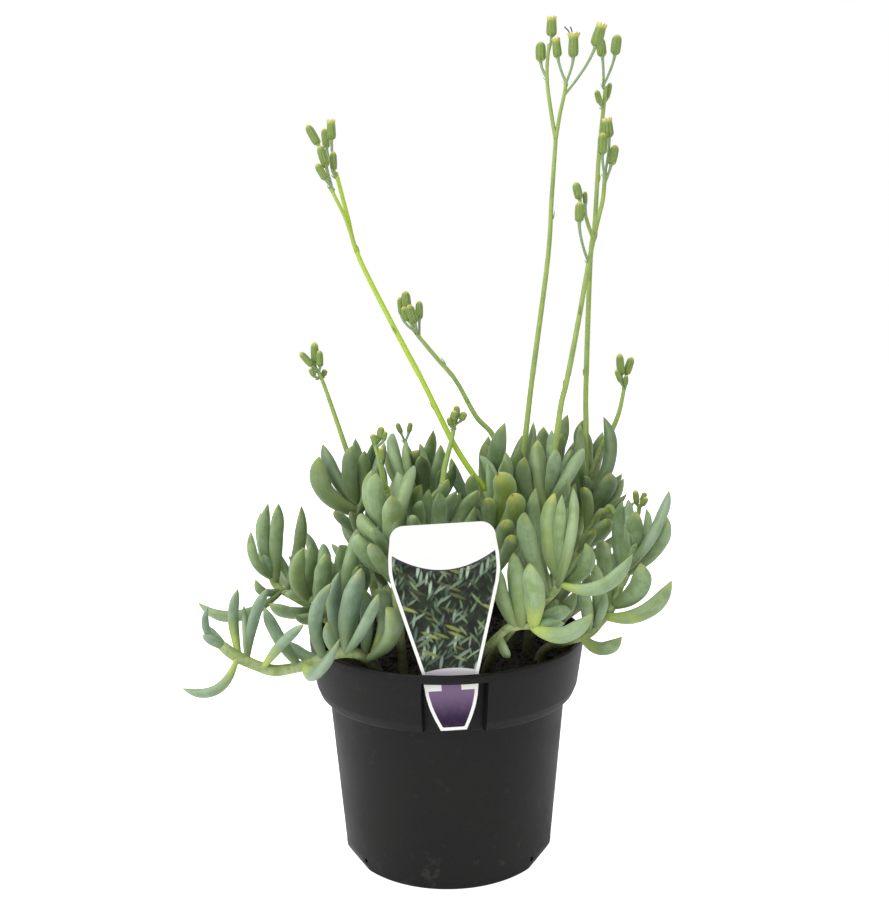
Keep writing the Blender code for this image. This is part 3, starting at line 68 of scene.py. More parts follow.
def place_camera():
    """A level camera, tipped down and rolled by the two small angles."""
    data = bpy.data.cameras.new("front_view")
    data.lens = CAMERA_LENS
    camera = bpy.data.objects.new("front_view", data)
    bpy.context.scene.collection.objects.link(camera)
    camera.matrix_world = (Matrix.Translation(CAMERA_PLACE)
                           @ Matrix.Rotation(math.radians(90 - CAMERA_DIP), 4, "X")
                           @ Matrix.Rotation(math.radians(CAMERA_ROLL), 4, "Z"))
    bpy.context.scene.camera = camera
    return camera


camera = place_camera()
bpy.context.scene.view_settings.view_transform = "Standard"
print("camera:", [round(value, 3) for value in camera.matrix_world.translation])

# %% Sky and lamps
SKY_BEHIND = 0.84
SKY_IN_FRONT = 0.22
LAMPS = (  # name, place, size, power in watts; each looks at the middle of the plant
    ("key_left", (-0.65, -0.75, 1.15), 1.5, 18.0),
    ("fill_right", (0.95, -0.45, 0.70), 1.2, 1.8),
)
PLANT_MIDDLE = (0.0, 0.0, 0.15)


def make_sky():
    """A white sky, bright behind the plant and dim in front of it; the camera itself sees plain white."""
    world = bpy.data.worlds.new("white_studio")
    world.use_nodes = True
    tree = world.node_tree
    lit = tree.nodes["Background"]
    away = tree.nodes.new("ShaderNodeTexCoord")
    split = tree.nodes.new("ShaderNodeSeparateXYZ")
    fade = tree.nodes.new("ShaderNodeMapRange")
    fade.inputs["From Min"].default_value = -0.6
    fade.inputs["From Max"].default_value = 0.5
    fade.inputs["To Min"].default_value = SKY_IN_FRONT
    fade.inputs["To Max"].default_value = SKY_BEHIND
    path = tree.nodes.new("ShaderNodeLightPath")
    seen = tree.nodes.new("ShaderNodeBackground")
    mixed = tree.nodes.new("ShaderNodeMixShader")
    lit.inputs["Color"].default_value = seen.inputs["Color"].default_value = (1.0, 1.0, 1.0, 1.0)
    tree.links.new(away.outputs["Generated"], split.inputs[0])
    tree.links.new(split.outputs["Y"], fade.inputs["Value"])
    tree.links.new(fade.outputs["Result"], lit.inputs["Strength"])
    tree.links.new(path.outputs["Is Camera Ray"], mixed.inputs[0])
    tree.links.new(lit.outputs[0], mixed.inputs[1])
    tree.links.new(seen.outputs[0], mixed.inputs[2])
    tree.links.new(mixed.outputs[0], tree.nodes["World Output"].inputs["Surface"])
    bpy.context.scene.world = world


def light_scene():
    """Square lamps turned towards the plant: a strong one high on the left, a weak one on the right."""
    for name, place, size, power in LAMPS:
        data = bpy.data.lights.new(name, "AREA")
        data.size = size
        data.energy = power
        lamp = bpy.data.objects.new(name, data)
        bpy.context.scene.collection.objects.link(lamp)
        away = np.subtract(place, PLANT_MIDDLE)
        turn = math.atan2(away[0], -away[1])
        lean = math.acos(away[2] / np.linalg.norm(away))
        lamp.matrix_world = (Matrix.Translation(place) @ Matrix.Rotation(turn, 4, "Z")
                             @ Matrix.Rotation(lean, 4, "X"))


make_sky()
light_scene()
print("lamps:", [lamp[0] for lamp in LAMPS])

# %% [markdown]
# ## Helpers for surfaces
#
# Nearly every piece here is a set of closed tubes: a leaf, a stem, a bud, the turned pot, even the flat
# tag. A tube is a grid of points, ring by ring, whose last side meets its first, with one point that
# closes each end. One function turns such grids into faces for any number of tubes at once, so no shape
# needs its own face code.

# %% From rings to a mesh


def skin(rings, ends, **values):
    """Closed tubes from rings[tube, ring, side] and ends[tube, 0 and 1].

    Neighbouring rings are joined by quads, the last side meets the first, and a fan of triangles joins
    each end ring to its end point. Values hold one number or vector per ring point; an end point takes its
    ring's mean.
    """
    tubes, count, sides = rings.shape[:3]
    size = count * sides + 2
    ring, side = np.meshgrid(np.arange(count - 1), np.arange(sides), indexing="ij")
    here, beside = ring * sides + side, ring * sides + (side + 1) % sides
    quads = np.stack([here, beside, beside + sides, here + sides], axis=-1).reshape(-1, 4)
    foot, after = np.arange(sides), (np.arange(sides) + 1) % sides
    top = (count - 1) * sides
    fans = np.vstack([np.stack([after, foot, np.full(sides, size - 2)], axis=1),
                      np.stack([top + foot, top + after, np.full(sides, size - 1)], axis=1)])
    one = np.concatenate([quads.ravel(), fans.ravel()])
    corners = (np.arange(tubes)[:, None] * size + one).ravel()
    counts = np.tile(np.concatenate([np.full(len(quads), 4), np.full(len(fans), 3)]), tubes)

    def spread(value):
        value = np.asarray(value, float)
        flat = value.reshape(tubes, count * sides, *value.shape[3:])
        close = np.stack([value[:, 0].mean(axis=1), value[:, -1].mean(axis=1)], axis=1)
        return np.concatenate([flat, close], axis=1).reshape(tubes * size, *value.shape[3:])

    points = np.concatenate([rings.reshape(tubes, -1, 3), ends], axis=1).reshape(-1, 3)
    return {"points": points, "corners": corners, "counts": counts,
            "values": {name: spread(value) for name, value in values.items()}}


def joined(shells):
    """Several skins as one: the corners of each are counted on from the points before it."""
    starts = np.cumsum([0] + [len(shell["points"]) for shell in shells[:-1]])
    names = shells[0]["values"]
    return {"points": np.vstack([shell["points"] for shell in shells]),
            "corners": np.concatenate([shell["corners"] + start for shell, start in zip(shells, starts)]),
            "counts": np.concatenate([shell["counts"] for shell in shells]),
            "values": {name: np.concatenate([shell["values"][name] for shell in shells]) for name in names}}


def make_object(name, shell, finish):
    """Put a skin into the mesh of a new object, shaded smooth."""
    mesh = bpy.data.meshes.new(name)
    mesh.vertices.add(len(shell["points"]))
    mesh.vertices.foreach_set("co", (shell["points"] * MM).astype(np.float32).ravel())
    mesh.loops.add(len(shell["corners"]))
    mesh.loops.foreach_set("vertex_index", shell["corners"].astype(np.int32))
    mesh.polygons.add(len(shell["counts"]))
    starts = np.concatenate([[0], np.cumsum(shell["counts"])[:-1]])
    mesh.polygons.foreach_set("loop_start", starts.astype(np.int32))
    for label, value in shell["values"].items():
        kind, field = ("FLOAT", "value") if value.ndim == 1 else ("FLOAT_VECTOR", "vector")
        layer = mesh.attributes.new(label, kind, "POINT")
        layer.data.foreach_set(field, value.astype(np.float32).ravel())
    mesh.update(calc_edges=True)
    mesh.shade_smooth()
    mesh.materials.append(finish)
    thing = bpy.data.objects.new(name, mesh)
    bpy.context.scene.collection.objects.link(thing)
    return thing


def add_piece(name, shell, finish, node_name, slot):
    """A piece that stands for a CAD node and rides on the one body."""
    piece = make_object(name, shell, finish)
    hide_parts(node_name)
    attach(piece, "root")
    return piece


def full_turn(sides):
    """Even angles once round, in radians."""
    return 2 * np.pi * np.arange(sides) / sides


def xyz(x, y, z):
    """Points from three arrays of coordinates, which may differ in shape as far as numpy can stretch them."""
    return np.stack(np.broadcast_arrays(x, y, z), axis=-1)


def unit(vectors):
    """Vectors of length one."""
    vectors = np.asarray(vectors, float)
    return vectors / np.maximum(np.linalg.norm(vectors, axis=-1, keepdims=True), 1e-9)


def tube_skin(line, radii, sides, ridges=0, ridge_depth=0.0, **values):
    """A round tube along a line: centre + radius * (cos turn * wide + sin turn * thick).

    Wide and thick are square to the line. Ridges make the radius swell by a cosine round the tube.
    """
    line, radii = np.asarray(line, float), np.asarray(radii, float)
    ahead = unit(np.gradient(line, axis=0))
    wide = unit(np.cross(ahead, [0.12, 1.0, 0.1]))
    thick = np.cross(ahead, wide)
    turn = full_turn(sides)
    swell = radii[:, None] * (1 + ridge_depth * np.cos(ridges * turn))
    rings = (line[:, None] + swell[..., None] * (np.cos(turn)[:, None] * wide[:, None]
                                                 + np.sin(turn)[:, None] * thick[:, None]))
    along = np.concatenate([[0.0], np.cumsum(np.linalg.norm(np.diff(line, axis=0), axis=1))])
    straight = xyz(np.cos(turn) * 2.0, np.sin(turn) * 2.0, along[:, None])
    shape = rings.shape[:2]
    ends = np.stack([line[0] - ahead[0] * radii[0] * 0.2, line[-1] + ahead[-1] * radii[-1] * 0.2])
    extra = {name: np.broadcast_to(np.asarray(value, float).reshape(-1, 1), shape)[None]
             for name, value in values.items()}
    return skin(rings[None], ends[None], straight=straight[None], **extra)


print("helpers:", [helper.__name__ for helper in (skin, joined, make_object, add_piece, tube_skin)])

# %% [markdown]
# ## Helpers for finishes
#
# A finish is a small tree of shader nodes. Two effects are shared by several finishes, so each is a node
# group with its own inputs and outputs: soft patches, which drive changes of colour and wear, and fine
# grain, which drives bump. Patterns that follow a leaf or a stalk read the attribute "straight", the
# piece laid out straight.

# %% Node helpers


def tone(red, green, blue):
    """A colour named by its screen values from 0 to 255, as the linear numbers that shaders use."""
    share = np.array([red, green, blue]) / 255
    linear = np.where(share <= 0.04045, share / 12.92, ((share + 0.055) / 1.055) ** 2.4)
    return (*linear.tolist(), 1.0)


def node(tree, kind, inputs=None, **settings):
    """Add a node, set its options, and give each named input a value or a link."""
    made = tree.nodes.new(kind)
    for name, value in settings.items():
        setattr(made, name, value)
    for key, value in (inputs or {}).items():
        if isinstance(value, bpy.types.NodeSocket):
            tree.links.new(value, made.inputs[key])
        else:
            made.inputs[key].default_value = value
    return made


def blend(tree, share, first, second):
    """Mix two colours: the first where the share is 0, the second where it is 1."""
    return node(tree, "ShaderNodeMix", {0: share, 6: first, 7: second}, data_type="RGBA").outputs[2]


def layered(tree, colour, *layers):
    """Lay tints over a colour one after another, each by its own share."""
    for share, tint in layers:
        colour = blend(tree, share, colour, tint)
    return colour


def sums(tree, how, first, second=0.0):
    """One step of arithmetic on numbers or links."""
    return node(tree, "ShaderNodeMath", {0: first, 1: second}, operation=how).outputs[0]


def times(tree, first, *others):
    """The product of several numbers or links."""
    for other in others:
        first = sums(tree, "MULTIPLY", first, other)
    return first


def between(tree, value, low, high, first=0.0, last=1.0):
    """A number that runs from first to last as the value runs from low to high, and stays there outside."""
    ends = {"Value": value, "From Min": low, "From Max": high, "To Min": first, "To Max": last}
    return node(tree, "ShaderNodeMapRange", ends, interpolation_type="SMOOTHSTEP").outputs["Result"]


def carried(tree, name, output="Fac"):
    """A value that the mesh carries for each of its points."""
    return node(tree, "ShaderNodeAttribute", attribute_name=name).outputs[output]


def new_group(name, inputs, outputs):
    """An empty node group with number sockets in and out, and a vector called Place."""
    group = bpy.data.node_groups.new(name, "ShaderNodeTree")
    group.interface.new_socket("Place", in_out="INPUT", socket_type="NodeSocketVector")
    for label, value in inputs.items():
        socket = group.interface.new_socket(label, in_out="INPUT", socket_type="NodeSocketFloat")
        socket.default_value = value
    for label in outputs:
        group.interface.new_socket(label, in_out="OUTPUT", socket_type="NodeSocketFloat")
    return group, group.nodes.new("NodeGroupInput"), group.nodes.new("NodeGroupOutput")


def new_finish(name, **constants):
    """A material with a Principled shader whose plain settings are given by name."""
    finish = bpy.data.materials.new(name)
    finish.use_nodes = True
    shader = finish.node_tree.nodes["Principled BSDF"]
    for label, value in constants.items():
        shader.inputs[label.replace("_", " ")].default_value = value
    return finish, finish.node_tree, shader


# %% Shared effects: soft patches and fine grain
def make_patches():
    """Noise at one scale, cut to a soft mask: 0 below the middle less the edge, 1 above it plus the edge."""
    group, given, result = new_group("soft_patches", {"Scale": 60.0, "Middle": 0.5, "Edge": 0.1}, ["Mask"])
    place, scale, middle, edge = (given.outputs[name] for name in ("Place", "Scale", "Middle", "Edge"))
    settings = {"Vector": place, "Scale": scale, "Detail": 4.0, "Roughness": 0.6}
    noise = node(group, "ShaderNodeTexNoise", settings)
    low = sums(group, "SUBTRACT", middle, edge)
    high = sums(group, "ADD", middle, edge)
    group.links.new(between(group, noise.outputs["Fac"], low, high), result.inputs["Mask"])
    return group


def make_grain():
    """Fine noise plus a coarser, weaker one, as a height for Bump."""
    group, given, result = new_group("fine_grain", {"Scale": 900.0, "Coarse Share": 0.4}, ["Height"])
    place, scale = given.outputs["Place"], given.outputs["Scale"]
    fine = node(group, "ShaderNodeTexNoise", {"Vector": place, "Scale": scale, "Detail": 2.0})
    wide = times(group, scale, 0.2)
    coarse = node(group, "ShaderNodeTexNoise", {"Vector": place, "Scale": wide, "Detail": 2.0})
    weak = times(group, coarse.outputs["Fac"], given.outputs["Coarse Share"])
    group.links.new(sums(group, "ADD", fine.outputs["Fac"], weak), result.inputs["Height"])
    return group


PATCHES = make_patches()
GRAIN = make_grain()


def patches(tree, place, scale, middle, edge):
    """The mask of soft patches, with the shared group's settings."""
    settings = {"Place": place, "Scale": scale, "Middle": middle, "Edge": edge}
    return node(tree, "ShaderNodeGroup", settings, node_tree=PATCHES).outputs["Mask"]


def object_place(tree):
    """Where a point lies on the whole object, in metres."""
    return node(tree, "ShaderNodeTexCoord").outputs["Object"]


def height_of(tree, place):
    """The third part of a place: how high it lies."""
    return node(tree, "ShaderNodeSeparateXYZ", {0: place}).outputs["Z"]


def dress(tree, shader, colour, rough, place, grain, bump, relief=None):
    """Give a shader its colour, its roughness and a bump of fine grain, with any wider relief added.

    Grain is its scale and the share of its coarse part. Bump is its strength and its depth in metres.
    """
    tree.links.new(colour, shader.inputs["Base Color"])
    if rough is not None:
        tree.links.new(rough, shader.inputs["Roughness"])
    settings = {"Place": place, "Scale": grain[0], "Coarse Share": grain[1]}
    height = node(tree, "ShaderNodeGroup", settings, node_tree=GRAIN).outputs["Height"]
    if relief is not None:
        height = sums(tree, "ADD", height, relief)
    raised = node(tree, "ShaderNodeBump", {"Height": height, "Strength": bump[0], "Distance": bump[1]})
    tree.links.new(raised.outputs["Normal"], shader.inputs["Normal"])


print("node groups:", [group.name for group in (PATCHES, GRAIN)])

# %% [markdown]
# ## The floor
#
# The ground is a plain pale disc, far wider than the plant, and it isn't part of the object. A faint,
# wide noise keeps it from being one flat colour.

# %% Make the floor
FLOOR_RADIUS = 4000.0
FLOOR_FOOT_Z = -20.0
FLOOR_TOP_Z = -0.02
FLOOR_SIDES = 96


def make_floor():
    """A thin closed disc whose upper face lies a hair under the object's feet."""
    turn = full_turn(FLOOR_SIDES)
    height = np.array([FLOOR_FOOT_Z, FLOOR_TOP_Z])
    rings = xyz(FLOOR_RADIUS * np.cos(turn), FLOOR_RADIUS * np.sin(turn), height[:, None])
    shell = skin(rings[None], np.array([[[0, 0, FLOOR_FOOT_Z], [0, 0, FLOOR_TOP_Z]]]))
    finish, tree, shader = new_finish("white_ground", Roughness=0.7, Specular_IOR_Level=0.2,
                                      Emission_Strength=0.9)
    seen = node(tree, "ShaderNodeLightPath").outputs["Is Camera Ray"]
    glow = blend(tree, seen, tone(130, 130, 130), tone(255, 255, 255))
    tree.links.new(glow, shader.inputs["Emission Color"])
    patch = patches(tree, object_place(tree), 3.0, 0.5, 0.3)
    tree.links.new(blend(tree, patch, tone(244, 244, 244), tone(248, 248, 248)), shader.inputs["Base Color"])
    floor = make_object("floor", shell, finish)
    return floor


floor = make_floor()
print("floor radius, metres:", FLOOR_RADIUS * MM)

# %% [markdown]
# ## The pot
#
# The real pot is one thin moulding of black plastic: a tapered body, a wider band with a rolled lip, and
# a pocket in the band's front where the tag stands behind a bridge of the lip. It could be turned and
# then cut with Booleans, but the surface is easier to keep clean as a formula. A profile of radius and
# height goes round the axis, and in the pocket's angles its outer points are swapped for those of the
# set-back wall. Four flats are the same formula with the radius held back to a plane.

# %% Pot: profile and pocket
POT_HEIGHT = 112.5
RIM_RADIUS = 70.0
BAND_FOOT_Z = 83.2
BAND_FOOT_RADIUS = 65.0
BODY_TOP_RADIUS = 60.7
BASE_RADIUS = 53.4
WALL = 1.5
FLOOR_TOP = 3.2
FOOT_RING_INNER = 46.0
BOSS_RADIUS = 13.0
UNDERSIDE_RECESS = 1.2
POCKET_TURN = 2.8
POCKET_HALF_ANGLE = 12.7
CHEEK_ANGLE = 1.3
POCKET_FOOT_RADIUS = 61.3
POCKET_TOP_RADIUS = 64.5
LIP_FOOT_Z = 108.3
LIP_INNER_RADIUS = 67.9
POCKET_WALL_TOP_Z = 110.3
INSIDE_BEND_Z = 98.0
CORNER_POINTS = 5


def rounded(points, radii):
    """Swap each corner for a quadratic curve that starts and ends at its radius's distance from it."""
    points = np.asarray(points, float)
    before, after = unit(points[:-2] - points[1:-1]), unit(points[2:] - points[1:-1])
    reach = np.asarray(radii, float)[:, None, None]
    corner = points[1:-1][:, None]
    t = np.linspace(0, 1, CORNER_POINTS)[None, :, None]
    curve = (1 - t) ** 2 * (corner + before[:, None] * reach) + 2 * t * (1 - t) * corner \
        + t**2 * (corner + after[:, None] * reach)
    return np.vstack([points[:1], curve.reshape(-1, 2), points[-1:]])


def pot_profiles():
    """Two profiles with the same number of (radius, height) points: beside the pocket, and in it.

    Both run from the underside's middle out to the base, up the outside, over the top and down the inside.
    """
    under = [(BOSS_RADIUS, 0.0), (BOSS_RADIUS + 1, UNDERSIDE_RECESS),
             (FOOT_RING_INNER - 1, UNDERSIDE_RECESS), (FOOT_RING_INNER, 0.0),
             (BASE_RADIUS - 0.8, 0.0), (BASE_RADIUS + 0.2, 1.0)]
    taper = (BODY_TOP_RADIUS - BASE_RADIUS) / BAND_FOOT_Z
    body = [(BASE_RADIUS + taper * z, z) for z in np.arange(3, 83, 4.0)]
    inside = [(BASE_RADIUS - WALL - 1.3, FLOOR_TOP), (1.0, FLOOR_TOP)]
    plain = [(BODY_TOP_RADIUS, BAND_FOOT_Z - 0.3), (BAND_FOOT_RADIUS - 0.5, BAND_FOOT_Z),
             (BAND_FOOT_RADIUS + 0.4, BAND_FOOT_Z + 1.0), (RIM_RADIUS - 3.0, 88.2), (RIM_RADIUS - 1.0, 102.0),
             (RIM_RADIUS - 0.1, LIP_FOOT_Z), (RIM_RADIUS, POT_HEIGHT - 0.1), (RIM_RADIUS - 1.6, POT_HEIGHT),
             (RIM_RADIUS - 1.9, POT_HEIGHT - 1.2), (RIM_RADIUS - 3.6, INSIDE_BEND_Z),
             (BAND_FOOT_RADIUS - WALL, BAND_FOOT_Z + WALL + 0.9),
             (BODY_TOP_RADIUS - WALL, BAND_FOOT_Z + 0.4)]
    back, top = POCKET_FOOT_RADIUS - WALL, POCKET_TOP_RADIUS - WALL
    rise = (POCKET_TOP_RADIUS - POCKET_FOOT_RADIUS) / (LIP_FOOT_Z - BAND_FOOT_Z)
    wall = [(POCKET_FOOT_RADIUS + rise * (z - BAND_FOOT_Z), z) for z in (84.6, 88.2, 102.0, LIP_FOOT_Z)]
    pocket = [(BODY_TOP_RADIUS, BAND_FOOT_Z - 0.3), (POCKET_FOOT_RADIUS, BAND_FOOT_Z), *wall,
              (POCKET_TOP_RADIUS, POCKET_WALL_TOP_Z), (top, POCKET_WALL_TOP_Z),
              (top - 0.1, POCKET_WALL_TOP_Z - 1), (back + rise * 14.8, INSIDE_BEND_Z),
              (back, BAND_FOOT_Z + WALL), (back - 0.2, BAND_FOOT_Z - 1)]
    radii = [.3, .3, .3, .3, .5, .4] + [.5] * len(body)
    radii += [.05, .4, .3, .5, .5, .5, .9, .5, .3, 1, .5, .4, .8, .1]
    start, end = [(1.0, 0.0)], [(0.5, FLOOR_TOP)]
    beside = rounded(start + under + body + plain + inside + end, radii)
    within = rounded(start + under + body + pocket + inside + end, radii)
    outside_corners = len(under) + len(body) + 7
    return beside, within, CORNER_POINTS * outside_corners + 1


beside, within, outer_count = pot_profiles()
print("profile points:", len(beside), "outer:", outer_count)

# %% Pot: round the axis
FLAT_ANGLES = (-28.0, 28.0, 152.0, 208.0)
FLAT_HALF_ANGLE = 16.5
FLAT_HEIGHT = 5.5
DRAIN_RADIUS = 1.2
DRAIN_Z = 5.2
DRAIN_TURN = 12.5
DRAIN_SIDES = 12
DRAIN_REACH = 4.0
POT_TURNS = 180
POCKET_SIDE = -90.0 + POCKET_TURN
EDGE_ANGLE = 0.12
CHEEK_SLOPE = 0.3
SHARP_PLASTIC = math.radians(38)


def pot_angles():
    """Even angles with extra ones at the pocket's cheeks, which keep its edges sharp. Degrees from +X."""
    even = np.linspace(0, 360, POT_TURNS, endpoint=False) + POCKET_SIDE
    cheek_end = CHEEK_ANGLE + CHEEK_SLOPE
    cheeks = POCKET_HALF_ANGLE + np.array([-EDGE_ANGLE, 0, EDGE_ANGLE, CHEEK_ANGLE, cheek_end])
    turns = np.concatenate([even, POCKET_SIDE + cheeks, POCKET_SIDE + 360 - cheeks])
    return np.unique(np.round(turns, 4))


def off_pocket(turn):
    """How many degrees an angle lies to either side of the pocket's middle."""
    return np.abs((turn - POCKET_SIDE + 180) % 360 - 180)


def flattened(radius, height, turn):
    """Hold the radius back to each flat's tilted plane: distance / cos(angle from the flat's middle)."""
    reach = BASE_RADIUS * math.cos(math.radians(FLAT_HALF_ANGLE))
    top = BASE_RADIUS + FLAT_HEIGHT * (BODY_TOP_RADIUS - BASE_RADIUS) / BAND_FOOT_Z
    plane = reach + (top - reach) * height / FLAT_HEIGHT
    for angle in FLAT_ANGLES:
        across = np.cos(np.radians(turn - angle))
        held = np.minimum(radius, plane / np.maximum(across, 0.8))
        radius = np.where(across > 0.8, held, radius)
    return radius


def make_pot_shell():
    """Every profile point at every angle: the plain profile, or the pocket's between its cheeks."""
    turn = pot_angles()
    off = off_pocket(turn)
    outside = np.clip((POCKET_HALF_ANGLE + EDGE_ANGLE / 2 - off) / EDGE_ANGLE, 0, 1)
    inside = np.clip((POCKET_HALF_ANGLE + CHEEK_ANGLE + CHEEK_SLOPE - off) / CHEEK_SLOPE, 0, 1)
    index = np.arange(len(beside))[:, None]
    share = np.where(index < outer_count, outside, inside)[..., None]
    place = beside[:, None] * (1 - share) + within[:, None] * share
    radius = flattened(place[..., 0], place[..., 1], turn[None, :])
    rings = xyz(radius * np.cos(np.radians(turn)), radius * np.sin(np.radians(turn)), place[..., 1])
    return skin(rings[None], np.array([[[0, 0, 0.0], [0, 0, FLOOR_TOP]]]))


def make_bridge_shell():
    """The lip over the pocket: a rounded bar carried round the axis, sunk a little into both cheeks."""
    foot, head, inner, outer = LIP_FOOT_Z, POT_HEIGHT, LIP_INNER_RADIUS, RIM_RADIUS
    section = rounded([(inner, foot + 2), (inner, foot), (outer - 0.12, foot), (outer - 0.02, head - 0.12),
                       (inner + 0.3, head - 0.02), (inner, head - 1.5), (inner, foot + 2.1)],
                      [.4, .6, .9, .5, .4])[1:-1]
    sweep = np.linspace(-POCKET_HALF_ANGLE - 0.6, POCKET_HALF_ANGLE + 0.6, 26)
    turn = np.radians(POCKET_SIDE + sweep)[:, None]
    out, up = section[None, :, 0], section[None, :, 1]
    rings = xyz(out * np.cos(turn), out * np.sin(turn), up)[:, ::-1]
    ends = np.stack([rings[0].mean(axis=0), rings[-1].mean(axis=0)])
    return skin(rings[None], ends[None])


# %% Pot: plastic
def pot_plastic():
    """Charcoal polypropylene: fine moulded grain, faint dust near the foot and dull scuffs."""
    finish, tree, shader = new_finish("charcoal_plastic", Specular_IOR_Level=0.2)
    place = object_place(tree)
    haze = patches(tree, place, 28.0, 0.55, 0.2)
    dust = patches(tree, place, 160.0, 0.64, 0.09)
    base = blend(tree, haze, tone(20, 20, 20), tone(26, 26, 25))
    dusty = times(tree, dust, between(tree, height_of(tree, place), 0.0, 0.03, 0.22, 0.06))
    colour = blend(tree, dusty, base, tone(92, 86, 76))
    rough = between(tree, haze, 0.0, 1.0, 0.42, 0.52)
    dress(tree, shader, colour, rough, place, (1400.0, 0.5), (0.22, 0.0003))
    return finish


def drain_bars():
    """Short round bars through the lower wall, two beside each flat."""
    spots = np.array([angle + side * DRAIN_TURN for angle in FLAT_ANGLES for side in (-1, 1)])
    out = np.stack([np.cos(np.radians(spots)), np.sin(np.radians(spots)), 0 * spots], axis=1)
    side = np.stack([-out[:, 1], out[:, 0], 0 * spots], axis=1)
    turn = full_turn(DRAIN_SIDES)[:, None]
    reach = np.array([-DRAIN_REACH, DRAIN_REACH])[None, :, None]
    ring = DRAIN_RADIUS * (np.cos(turn) * side[:, None] + np.sin(turn) * np.array([0, 0, 1.0]))
    middle = out * BASE_RADIUS + [0, 0, DRAIN_Z]
    rings = middle[:, None, None] + out[:, None, None] * reach[..., None] + ring[:, None]
    return skin(rings, middle[:, None] + out[:, None] * reach)


def cut_drains(pot):
    """Take the bars out of the pot's wall and keep the result as its mesh."""
    bars = make_object("drain_bars", drain_bars(), pot.data.materials[0])
    cut = pot.modifiers.new("drains", "BOOLEAN")
    cut.operation = "DIFFERENCE"
    cut.object = bars
    cut.solver = "EXACT"
    bpy.context.view_layer.update()
    graph = bpy.context.evaluated_depsgraph_get()
    mesh = bpy.data.meshes.new_from_object(pot.evaluated_get(graph), depsgraph=graph)
    pot.modifiers.clear()
    pot.data = mesh
    bpy.data.objects.remove(bars, do_unlink=True)


pot = add_piece("nursery_pot", make_pot_shell(), pot_plastic(), "pot", "pot")
cut_drains(pot)
bridge = make_object("pocket_bridge", make_bridge_shell(), pot.data.materials[0])
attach(bridge, "root")
pot.data.set_sharp_from_angle(angle=SHARP_PLASTIC)
bridge.data.set_sharp_from_angle(angle=SHARP_PLASTIC)
print("pot faces:", len(pot.data.polygons), "bridge faces:", len(bridge.data.polygons))

# %% [markdown]
# ## The soil
#
# Potting mix is a dark, crumbly blend of bark and peat. From a step away it is a rough, nearly black
# ground with chips lying on it. The body is a closed form turned on the pot's axis, whose top is raised
# and lowered by waves of many directions. The chips are low, squashed six-sided crumbs, scattered by a
# seeded draw.

# %% Soil: ground and chips
SOIL_CROWN_Z = 105.0
SOIL_EDGE_Z = 102.8
SOIL_EDGE_RADIUS = 66.5
SOIL_FOOT_RADIUS = 50.0
SOIL_SEED = 5
SOIL_RINGS = 60
SOIL_SUNK = 0.9
CHIP_COUNT = 1100
CHIP_SIDES = 6
CHIP_SIZE = 2.6
TAG_CLEAR_ANGLE = 16.0
SHARP_SOIL = math.radians(50)


def waves(x, y, draw, shortest, longest, count):
    """A sum of sine waves with random directions, lengths and phases, about as high as one wave."""
    angle, phase = draw.uniform(0, 2 * np.pi, count), draw.uniform(0, 2 * np.pi, count)
    number = 2 * np.pi / draw.uniform(shortest, longest, count)
    run = x[..., None] * np.cos(angle) + y[..., None] * np.sin(angle)
    return np.sin(run * number + phase).sum(axis=-1) / math.sqrt(count)


def soil_height(radius):
    """The height of the soil's plain crown at a distance from the axis."""
    return np.interp(radius, [0, 24, 48, SOIL_EDGE_RADIUS],
                     [SOIL_CROWN_Z, SOIL_CROWN_Z - 0.2, SOIL_CROWN_Z - 0.8, SOIL_EDGE_Z])


def make_soil_shell(draw):
    """Rings from the top's middle outwards, then down the wall and in again under the floor's edge."""
    top = np.linspace(0.6, SOIL_EDGE_RADIUS, SOIL_RINGS)
    turn = np.radians(np.linspace(0, 360, POT_TURNS, endpoint=False))
    off = off_pocket(np.degrees(turn))
    behind_pocket = off < POCKET_HALF_ANGLE + CHEEK_ANGLE + 1.5
    most = np.where(behind_pocket, POCKET_TOP_RADIUS - WALL - 0.6, SOIL_EDGE_RADIUS)
    radius = top[:, None] * (most / SOIL_EDGE_RADIUS)
    x, y = radius * np.cos(turn), radius * np.sin(turn)
    rough = 0.45 * waves(x, y, draw, 9, 22, 12) + 0.4 * waves(x, y, draw, 2.5, 6, 24)
    upper = xyz(x, y, soil_height(radius) - SOIL_SUNK + rough)
    foot = FLOOR_TOP + 0.5
    wall = np.array([(62.2, 92.0), (59.0, BAND_FOOT_Z + 1), (58.0, 70.0), (SOIL_FOOT_RADIUS, foot)])
    limit_here = np.where(off < TAG_CLEAR_ANGLE, POCKET_FOOT_RADIUS - WALL - 1.0, RIM_RADIUS)
    reach = np.minimum(wall[:, :1], limit_here[None])
    lower = xyz(reach * np.cos(turn), reach * np.sin(turn), wall[:, 1:])
    rings = np.concatenate([upper, lower])[::-1]
    return skin(rings[None], np.array([[[0, 0, foot], [0, 0, SOIL_CROWN_Z - SOIL_SUNK]]]),
                shade=np.full((1, *rings.shape[:2]), 0.3))


